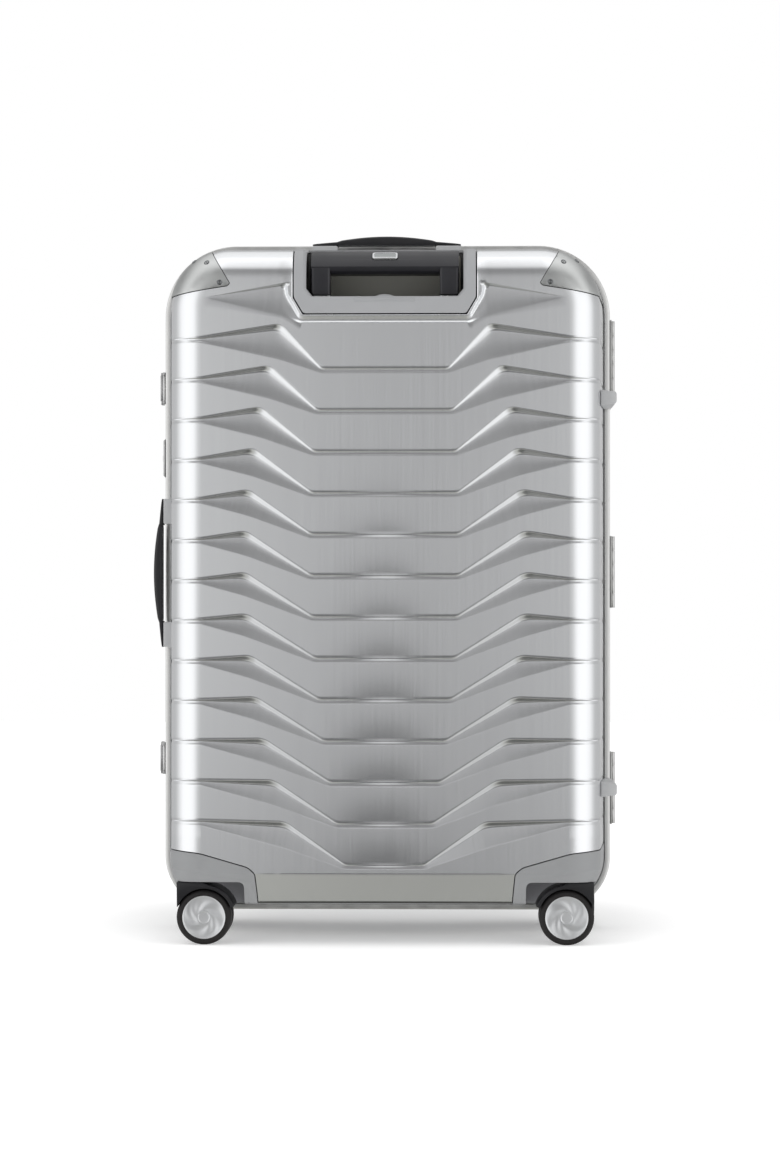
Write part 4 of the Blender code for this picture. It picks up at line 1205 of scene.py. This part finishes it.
def make_linings():
    """Fabric trays inside both halves."""
    for half, prefix, rider in HALVES:
        outer = cut(lining_solid(half, 0.0), *lining_recess(half, 0.0))
        inner = cut(lining_solid(half, LINING_WALL), *lining_recess(half, LINING_WALL))
        tray = cut(outer, inner)
        finish(tray, f"{prefix}_lining_cloth", rider, "lining", [f"{prefix}_lining"], 50.0)


def ribbon(path, width, thickness, across):
    """Flat strap along a path of points, with its width along a fixed direction."""
    side = Vector(across).normalized() * width / 2
    rings = []
    for i, point in enumerate(path):
        along = (Vector(path[min(i + 1, len(path) - 1)]) - Vector(path[max(i - 1, 0)])).normalized()
        lift = along.cross(side).normalized() * thickness / 2
        spot = Vector(point)
        rings.append([tuple(spot + side + lift), tuple(spot + side * 0.94 + lift * 1.25),
                      tuple(spot - side * 0.94 + lift * 1.25), tuple(spot - side + lift),
                      tuple(spot - side - lift), tuple(spot + side - lift)])
    return loft(rings)


def make_straps():
    """Four elastic straps that cross the back half and meet at a pad."""
    for side, word in SIDES:
        for up, height in ((-1, "lower"), (1, "upper")):
            end = Vector((side * 219.5, -30.0, MIDDLE_Z + up * 255.0))
            start = Vector((side * 18.0, -22.0, MIDDLE_Z + up * 22.0))
            path = []
            for step in range(25):
                spot = start.lerp(end, step / 24)
                spot.y -= 5.0 * math.sin(math.pi * step / 24)
                path.append(tuple(spot))
            along = (end - start).normalized()
            strap = ribbon(path, STRAP_WIDTH, 1.5, along.cross(Vector((0, 1, 0))))
            finish(strap, f"packing_strap_{height}_{word}", "root", "webbing")
    pad = [(-34, MIDDLE_Z), (0, MIDDLE_Z - 42), (34, MIDDLE_Z), (0, MIDDLE_Z + 42)]
    slab("packing_strap_pad", "root", "strap_pad", rounded(pad, 9.0), -24.5, -19.5, 1.2, 3)
    buckle = rounded(upright(MIDDLE_Z, 15, 13), 5.0)
    slab("packing_strap_buckle", "root", "fork", buckle, -19.6, -16.5, 0.9, 3)


def divider_face(face_w):
    """Rings of one face of the divider, from its middle to its rim, with its sag and soft waves."""
    centre = Vector((0.0, MIDDLE_Z))
    rings = []
    for step in range(11):
        share = step / 10
        points = []
        for x, z, nx, nz, _ in outline(corner_steps=14, spacing=30.0):
            out = FACE_INSET - DIVIDER_INSET
            spot = centre.lerp(Vector((x + nx * out, z + nz * out)), max(0.004, share))
            sag = DIVIDER_SAG * (1 - share ** 4) + 0.12 * math.sin(spot.x / 37) * math.sin(spot.y / 53)
            points.append((spot.x, DIVIDER_W + face_w + sag * min(1, 4 * (1 - share)), spot.y))
        rings.append(points)
    return rings


def make_divider():
    """Zipped cloth divider over the lid's half."""
    panel = loft(divider_face(0.0) + divider_face(DIVIDER_THICKNESS)[::-1])
    finish(panel, "lid_divider", "lid", "divider", angle=60.0)
    for name, inset, width, low, high, look in (
            ("lid_divider_zip_tape", 13.2, 5.0, 5.2, 5.9, "webbing"),
            ("lid_divider_zip_teeth", 14.6, 1.6, 4.4, 5.4, "latch_pad")):
        band = [(inset, low), (inset, high), (inset + width, high), (inset + width, low)]
        finish(ring(band, FRONT), name, "lid", look)
    for name, half_height, low, high, look in (("divider_pocket_tape", 8.0, 6.6, 9.6, "webbing"),
                                               ("divider_pocket_teeth", 1.6, 5.4, 9.0, "latch_pad")):
        bar = rounded(upright(POCKET_ZIP_Z, 165, half_height), 3.0)
        slab(name, "lid", look, bar, low, high, 0.3, 1)
    pull = [(-150, POCKET_ZIP_Z - 4), (-118, POCKET_ZIP_Z - 3), (-118, POCKET_ZIP_Z + 3),
            (-150, POCKET_ZIP_Z + 4)]
    slab("divider_pocket_pull", "lid", "steel", rounded(pull, 2.5), 4.0, 5.6, 0.5)


# ---- looks

def feed(socket, value):
    """Links an input to another node's output, or sets it to a value."""
    if isinstance(value, bpy.types.NodeSocket):
        socket.id_data.links.new(value, socket)
    else:
        socket.default_value = value


def add_node(tree, kind, **inputs):
    """New shader node with its inputs fed."""
    added = tree.nodes.new(kind)
    for key, value in inputs.items():
        feed(added.inputs[key.replace("_", " ")], value)
    return added


def maths(tree, operation, first, second=0.0):
    """Result of one sum."""
    step = tree.nodes.new("ShaderNodeMath")
    step.operation = operation
    for socket, value in zip(step.inputs, (first, second)):
        feed(socket, value)
    return step.outputs[0]


def times(tree, first, second):
    """Product of two values."""
    return maths(tree, "MULTIPLY", first, second)


def mixed(tree, share, low, high, kind="FLOAT"):
    """Value or colour at a share of the way between two."""
    mix = tree.nodes.new("ShaderNodeMix")
    mix.data_type = kind
    for socket, value in zip([item for item in mix.inputs if item.enabled], (share, low, high)):
        feed(socket, value)
    return next(item for item in mix.outputs if item.enabled)


def coordinates(tree, kind="Object"):
    """The x, y and z of a kind of texture coordinate."""
    place = tree.nodes.new("ShaderNodeTexCoord")
    return add_node(tree, "ShaderNodeSeparateXYZ", Vector=place.outputs[kind]).outputs


def start_material(name, colour, roughness, metallic=0.0, **sockets):
    """Principled material and its shader."""
    material = bpy.data.materials.new(name)
    material.use_nodes = True
    shader = material.node_tree.nodes["Principled BSDF"]
    sockets |= {"Base_Color": (*colour, 1.0), "Roughness": roughness, "Metallic": metallic}
    for key, value in sockets.items():
        shader.inputs[key.replace("_", " ")].default_value = value
    return material, material.node_tree, shader


def object_noise(tree, scale, detail, rough=0.5):
    """Noise over the piece's own coordinates."""
    place = tree.nodes.new("ShaderNodeTexCoord")
    mapping = add_node(tree, "ShaderNodeMapping", Vector=place.outputs["Object"], Scale=(scale,) * 3)
    return add_node(tree, "ShaderNodeTexNoise", Vector=mapping.outputs["Vector"], Scale=1.0,
                    Detail=detail, Roughness=rough).outputs["Fac"]


def vary_colour(tree, shader, share, colour, amount):
    """Lets a noise darken and lighten the base colour."""
    ends = [(*[clamp(part * (1 + change)) for part in colour], 1.0) for change in (-amount, amount)]
    tree.links.new(mixed(tree, share, *ends, "RGBA"), shader.inputs["Base Color"])


def vary_roughness(tree, shader, noise, low, high):
    """Lets a noise move the roughness between two values."""
    spread = add_node(tree, "ShaderNodeMapRange", Value=noise, From_Min=0.3, From_Max=0.7, To_Min=low,
                      To_Max=high)
    tree.links.new(spread.outputs["Result"], shader.inputs["Roughness"])


def bump(tree, shader, height, strength, distance):
    """Small relief from a height."""
    relief = add_node(tree, "ShaderNodeBump", Height=height, Strength=strength, Distance=distance)
    tree.links.new(relief.outputs["Normal"], shader.inputs["Normal"])


def brushed(name, colour, roughness, anisotropy, grain):
    """Brushed aluminium whose grain runs up and down, so that highlights spread sideways."""
    material, tree, shader = start_material(name, colour, roughness, 1.0, Anisotropic=anisotropy)
    tangent = tree.nodes.new("ShaderNodeTangent")
    tangent.direction_type = "RADIAL"
    tangent.axis = "Z"
    tree.links.new(tangent.outputs["Tangent"], shader.inputs["Tangent"])
    x, y, z = coordinates(tree)
    round_case = maths(tree, "SUBTRACT", maths(tree, "ABSOLUTE", x), maths(tree, "ABSOLUTE", y))
    noises = []
    for across, along in ((1300.0, 14.0), (300.0, 3.0)):
        spot = add_node(tree, "ShaderNodeCombineXYZ", X=times(tree, round_case, across),
                        Y=maths(tree, "SIGN", x), Z=times(tree, z, along))
        noises.append(add_node(tree, "ShaderNodeTexNoise", Vector=spot.outputs[0], Scale=1.0,
                               Detail=2.0).outputs["Fac"])
    both = times(tree, maths(tree, "ADD", *noises), 0.5)
    vary_colour(tree, shader, both, colour, grain)
    vary_roughness(tree, shader, both, roughness - 0.012, roughness + 0.012)
    bump(tree, shader, noises[0], 0.03, 0.0001)
    return material


def textured(name, colour, roughness, metallic, grain, spread, cloud, fine, relief, **sockets):
    """Material whose colour and roughness vary in clouds, with a fine relief.

    cloud and fine are the scale, detail and roughness of their noises. relief is the bump's
    strength and its distance in metres.
    """
    material, tree, shader = start_material(name, colour, roughness, metallic, **sockets)
    noise = object_noise(tree, *cloud)
    vary_colour(tree, shader, noise, colour, grain)
    vary_roughness(tree, shader, noise, roughness + spread[0], roughness + spread[1])
    bump(tree, shader, object_noise(tree, *fine), *relief)
    return material


def satin_metal(name, colour, roughness, grain=0.05, metallic=1.0):
    """Bead-blasted and anodised metal."""
    return textured(name, colour, roughness, metallic, grain, (-0.04, 0.06), (60.0, 4.0), (2600.0, 2.0),
                    (0.08, 0.00008))


def moulded(name, colour, roughness, texture, grain=0.08):
    """Moulded plastic with a fine leathery or sparked texture."""
    return textured(name, colour, roughness, 0.0, grain, (-0.05, 0.07), (45.0, 4.0),
                    (texture, 4.0, 0.6), (0.18, 0.00012))


def tyre_rubber(name, colour):
    """Dull rubber with dusty wear."""
    return textured(name, colour, 0.6, 0.0, 0.5, (-0.1, 0.15), (170.0, 6.0, 0.7), (1600.0, 2.0),
                    (0.2, 0.0001), Specular_IOR_Level=0.35)


def woven(name, colour, thread, contrast, sheen):
    """Plain woven cloth. thread is the width of one thread in metres."""
    material, tree, shader = start_material(name, colour, 0.85, 0.0, Sheen_Weight=sheen,
                                            Sheen_Roughness=0.4, Specular_IOR_Level=0.2)
    x_wave, y_wave, z_wave = (maths(tree, "SINE", times(tree, part, math.pi / thread))
                              for part in coordinates(tree))
    total = maths(tree, "ADD", times(tree, x_wave, z_wave), y_wave)
    level = add_node(tree, "ShaderNodeMapRange", Value=total, From_Min=-1.5, From_Max=1.5)
    vary_colour(tree, shader, level.outputs["Result"], colour, contrast)
    bump(tree, shader, level.outputs["Result"], 0.4, 0.0003)
    return material


def make_looks():
    """Material and record slot of each look."""
    rows = (
        ("shell", "brushed_aluminium", brushed, "brushed_aluminium",
         (0.79, 0.80, 0.815), 0.235, 0.6, 0.05),
        ("frame", "satin_frame", satin_metal, "satin_frame", (0.70, 0.70, 0.69), 0.33),
        ("guard", "satin_guard", satin_metal, "satin_guard", (0.55, 0.56, 0.555), 0.34),
        ("rivet", "satin_guard", satin_metal, "rivet_metal", (0.18, 0.185, 0.19), 0.25),
        ("housing", "grey_moulding", moulded, "grey_moulding", (0.29, 0.295, 0.30), 0.42, 1400.0),
        ("pocket", "grey_moulding", moulded, "dark_pocket", (0.3, 0.3, 0.315), 0.5, 1400.0),
        ("bezel", "satin_bezel", moulded, "satin_bezel", (0.37, 0.375, 0.385), 0.4, 1800.0, 0.04),
        ("bezel_plate", "satin_bezel", moulded, "plain_plate", (0.35, 0.355, 0.365), 0.3, 1800.0, 0.04),
        ("well", "black_plastic", moulded, "black_well", (0.012, 0.012, 0.013), 0.4, 900.0),
        ("well_panel", "black_plastic", moulded, "olive_panel", (0.26, 0.257, 0.23), 0.5, 900.0),
        ("grip", "black_plastic", moulded, "black_grip", (0.018, 0.018, 0.022), 0.34, 1100.0),
        ("handle", "black_plastic", moulded, "black_handle", (0.01, 0.01, 0.012), 0.42, 1100.0),
        ("fork", "black_fork", moulded, "black_fork", (0.009, 0.009, 0.011), 0.38, 1300.0),
        ("tyre", "wheel_rubber", tyre_rubber, "soft_tyre", (0.012, 0.0105, 0.0105)),
        ("rubber", "wheel_rubber", tyre_rubber, "rim_rubber", (0.02, 0.02, 0.02)),
        ("disc", "bright_steel", satin_metal, "wheel_silver", (0.68, 0.69, 0.70), 0.34, 0.03, 0.75),
        ("steel", "bright_steel", satin_metal, "bright_steel", (0.58, 0.58, 0.58), 0.22),
        ("tube", "anodised_tube", satin_metal, "drawn_tube", (0.55, 0.56, 0.57), 0.27),
        ("bracket", "light_bracket", moulded, "light_bracket", (0.47, 0.475, 0.48), 0.42, 1500.0, 0.04),
        ("button", "light_button", satin_metal, "silver_button", (0.66, 0.67, 0.68), 0.25, 0.03),
        ("button_panel", "light_button", satin_metal, "button_panel", (0.33, 0.345, 0.345), 0.33, 0.03),
        ("hinge", "satin_frame", satin_metal, "hinge_metal", (0.62, 0.62, 0.61), 0.3),
        ("latch", "satin_frame", satin_metal, "latch_metal", (0.64, 0.64, 0.64), 0.28),
        ("latch_pad", "black_plastic", moulded, "latch_pad", (0.03, 0.03, 0.032), 0.45, 1500.0),
        ("lining", "lining_fabric", woven, "lining_weave", (0.055, 0.06, 0.068), 0.0011, 0.35, 0.25),
        ("divider", "lining_fabric", woven, "divider_weave", (0.075, 0.08, 0.09), 0.0009, 0.4, 0.3),
        ("webbing", "lining_fabric", woven, "webbing_weave", (0.075, 0.077, 0.082), 0.0016, 0.5, 0.2),
        ("strap_pad", "lining_fabric", moulded, "strap_pad", (0.04, 0.042, 0.048), 0.6, 500.0),
    )
    return {look: (make(*settings), slot) for look, slot, make, *settings in rows}


# ---- light, floor and camera

def ease(tree, value, low, high):
    """Smooth step of a value from 0 at low to 1 at high."""
    step = add_node(tree, "ShaderNodeMapRange", Value=value, From_Min=low, From_Max=high)
    step.interpolation_type = "SMOOTHSTEP"
    return step.outputs["Result"]


def by_height(tree, z, stops):
    """Brightness of the studio by a direction's height from -1 to 1."""
    share = add_node(tree, "ShaderNodeMapRange", Value=z, From_Min=-1.0, From_Max=1.0)
    ramp = add_node(tree, "ShaderNodeValToRGB", Fac=share.outputs["Result"])
    ramp.color_ramp.interpolation = "EASE"
    elements = ramp.color_ramp.elements
    while len(elements) < len(stops):
        elements.new(0.5)
    for element, (height, level) in zip(elements, stops):
        element.position = (height + 1) / 2
        element.color = (level / LIGHT_SCALE,) * 3 + (1.0,)
    return times(tree, ramp.outputs["Color"], LIGHT_SCALE)


def make_light():
    """Soft white studio: bright above and at both sides, with a darker band low in front."""
    world = bpy.data.worlds.new("studio")
    bpy.context.scene.world = world
    world.use_nodes = True
    tree = world.node_tree
    x, y, z = coordinates(tree, "Generated")
    aside, height = maths(tree, "ABSOLUTE", x), maths(tree, "ABSOLUTE", z)
    turn = maths(tree, "ARCTAN2", aside, times(tree, y, -1.0))
    slant = maths(tree, "DIVIDE", aside, height)
    # Straight behind the camera the front light is weaker than beside it
    middle = mixed(tree, ease(tree, turn, 0.0, 0.19), 0.3, 1.3)
    front = times(tree, by_height(tree, z, FRONT_LIGHT), middle)
    light = mixed(tree, ease(tree, y, -0.06, 0.1), front, by_height(tree, z, BEHIND_LIGHT))
    # Side walls of light, which stand higher beside the case than in front of it
    steep = times(tree, ease(tree, height, 0.85, 0.6), ease(tree, y, -0.62, -0.42))
    walls = times(tree, ease(tree, turn, 0.27, 0.5), ease(tree, turn, 1.9, 1.1))
    walls = times(tree, walls, maths(tree, "MAXIMUM", ease(tree, height, 0.5, 0.3), steep))
    light = mixed(tree, walls, light, SIDE_LIGHT)
    # Light from low at both sides, for the undersides of the ribs
    low_sides = times(tree, ease(tree, slant, 0.6, 1.1), ease(tree, z, -0.35, -0.5))
    low_sides = times(tree, low_sides, ease(tree, y, -0.6, -0.4))
    light = mixed(tree, low_sides, light, LOW_SIDE_LIGHT)
    seen = tree.nodes.new("ShaderNodeLightPath").outputs["Is Camera Ray"]
    below = times(tree, ease(tree, z, -0.45, -0.6), ease(tree, slant, 0.7, 0.4))
    background = tree.nodes["Background"]
    feed(background.inputs["Color"], mixed(tree, below, (1.0, 1.0, 1.0, 1.0), FLOOR_TINT, "RGBA"))
    feed(background.inputs["Strength"], mixed(tree, seen, light, BACKDROP))


def make_floor():
    """Plain white floor with a faint even glow of its own. The glow is weaker in a pool round the case:
    a painted shadow that deepens the case's cast shadow.
    """
    floor = made([(x, y, 0) for x, y in rectangle(-FLOOR_HALF, -FLOOR_HALF, FLOOR_HALF, FLOOR_HALF)],
                 [(0, 1, 2, 3)])
    floor.name = "floor"
    material, tree, shader = start_material("floor_white", FLOOR_COLOUR, 0.9, Specular_IOR_Level=0.1)
    # Painted shadow: the floor's glow falls to SHADOW_GLOW in a pool round the case
    place = tree.nodes.new("ShaderNodeNewGeometry").outputs["Position"]
    away = add_node(tree, "ShaderNodeVectorMath", Vector=place)
    away.operation = "DISTANCE"
    away.inputs[1].default_value = SHADOW_CENTRE
    share = ease(tree, away.outputs["Value"], SHADOW_IN, SHADOW_OUT)
    feed(shader.inputs["Emission Strength"], mixed(tree, share, SHADOW_GLOW, FLOOR_GLOW))
    floor.data.materials.append(material)
    floor.visible_glossy = False


def make_camera():
    """Camera straight behind the case, a little to its right."""
    lens = bpy.data.cameras.new("camera")
    lens.lens = CAMERA_LENS
    lens.sensor_width = 36.0
    lens.clip_end = 50.0
    camera = bpy.data.objects.new("camera", lens)
    bpy.context.scene.collection.objects.link(camera)
    camera.location = CAMERA_SPOT
    camera.rotation_euler = (math.radians(CAMERA_TILT), 0.0, math.radians(CAMERA_TURN))
    bpy.context.scene.camera = camera
    bpy.context.scene.view_settings.view_transform = "Standard"


# ---- the whole case

make_camera()
make_light()
make_floor()
LOOKS = make_looks()
for make in (make_shells, make_frames, make_corner_guards, make_wheel_housings, make_casters,
             make_bezel, make_well, make_grip, make_button, make_tubes, make_carry_handles, make_hinges,
             make_latches, make_lock, make_feet, make_linings, make_straps, make_divider):
    make()
